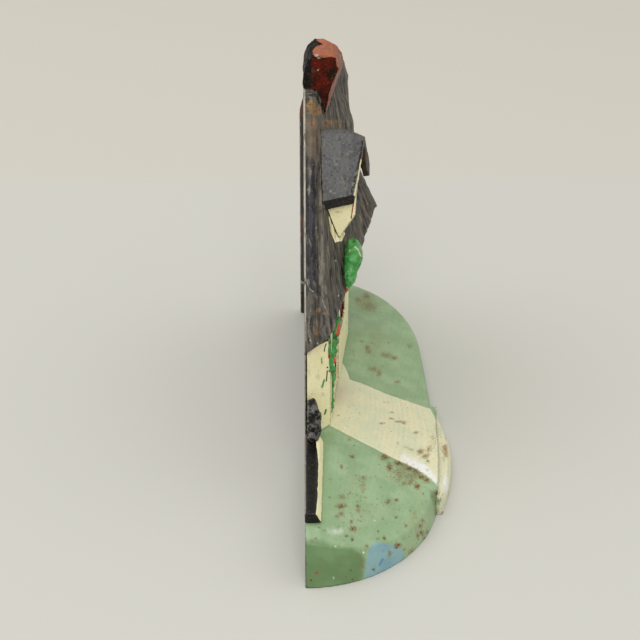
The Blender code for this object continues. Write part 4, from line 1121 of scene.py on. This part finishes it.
def build_plants():
    """The green vine, roses and shrub, and the black bush at the corner."""
    for name, (count, marks) in FLOWERS.items():
        skin = skin_of(name, voxel=0.3)
        if name == "climbing_vine":
            shape_vine(skin)
        if name == "end_shrub":
            skin.places[:, 1] = np.maximum(skin.d, SHRUB_BACK)
        skin.push(0.32 * leafy(skin, 2.3, 71))
        skin.dab("flower", marks)
        skin.paint("flower", 1.2 * scatter(skin, count, (1.0, 1.7), 72))
        skin.paint("deep_green", np.clip(skin.bumps(3.4, 73) * 1.6, 0, 0.9))
        if name == "rose_clump":
            # Painted highlights on the rose clump.
            skin.dab("leaf_highlight", ROSE_HIGHLIGHTS)
        finish(skin, "leaf_paint")
    skin = skin_of("corner_bush", voxel=0.3)
    skin.push(0.55 + 0.3 * leafy(skin, 2.4, 74))
    # Painted highlights on the lobes' tops.
    skin.dab("grey", BUSH_HIGHLIGHTS)
    skin.paint("grey", np.clip(skin.bumps(1.2, 75, 2) * 1.1 + 0.3, 0, 0.6))
    finish(skin, "black_paint")


# The floor: half its size in metres, its roughness, its near and far tones and where these meet.
FLOOR_HALF = 3.0
FLOOR_TONES = pair(200, 199, 191, 202, 198, 187)
SHEET_EDGE = (255.0, 275.0)
# The room's light, and the lamps: place, size and power.
ROOM_TONE = (1.0, 0.985, 0.96, 1.0)
ROOM_STRENGTH = 0.66
LAMP_TARGET = (0, 0, 0.05)
LAMPS = {"window_light": ((-1.5, 0.1, 2.1), 1.5, 24.0), "left_light": ((0.2, 1.5, 1.9), 1.6, 14.0),
    "right_light": ((0.4, -1.5, 1.9), 1.6, 4.5)}


def build_stage():
    """The floor, with a slightly darker sheet at its far end."""
    mesh = bpy.data.meshes.new("floor")
    corners = [(x * FLOOR_HALF, y * FLOOR_HALF, 0) for x, y in ((-1, -1), (1, -1), (1, 1), (-1, 1))]
    mesh.from_pydata(corners, [], [(0, 1, 2, 3)])
    floor = added("floor", mesh)
    g = Graph("floor_paper")
    split = g.node("ShaderNodeSeparateXYZ")
    g.feed(split, "Vector", g.place)
    g.feed(g.shader, "Base Color", g.mix(g.ramp(split.outputs["X"], *SHEET_EDGE), *FLOOR_TONES))
    g.feed(g.shader, "Roughness", 0.85)
    mesh.materials.append(g.material)


def build_camera():
    """The camera, at the photograph's place."""
    right, up, forward = camera_axes()
    data = bpy.data.cameras.new("camera")
    data.lens = LENS
    data.sensor_width = SENSOR
    data.clip_start = CLIP_START
    camera = added("camera", data)
    turn = Matrix((right, up, -forward)).transposed().to_4x4()
    camera.matrix_world = Matrix.Translation(Vector(to_world(CAMERA_AT))) @ turn
    bpy.context.scene.camera = camera


def build_lights():
    """The room's even light and the lamps."""
    world = bpy.data.worlds.new("room")
    world.use_nodes = True
    room = world.node_tree.nodes["Background"]
    room.inputs["Color"].default_value = ROOM_TONE
    room.inputs["Strength"].default_value = ROOM_STRENGTH
    bpy.context.scene.world = world
    for name, (place, size, power) in LAMPS.items():
        data = bpy.data.lights.new(name, "AREA")
        data.shape = "SQUARE"
        data.size = size
        data.energy = power
        lamp = added(name, data)
        lamp.location = place
        lamp.rotation_euler = (Vector(LAMP_TARGET) - Vector(place)).to_track_quat("-Z", "Y").to_euler()


build_camera()
build_lights()
build_stage()
build_base()
build_kerb()
build_walls()
build_timbers()
build_windows()
build_thatch()
build_dormer()
build_chimney()
build_plants()
bpy.context.scene.view_settings.view_transform = "Standard"
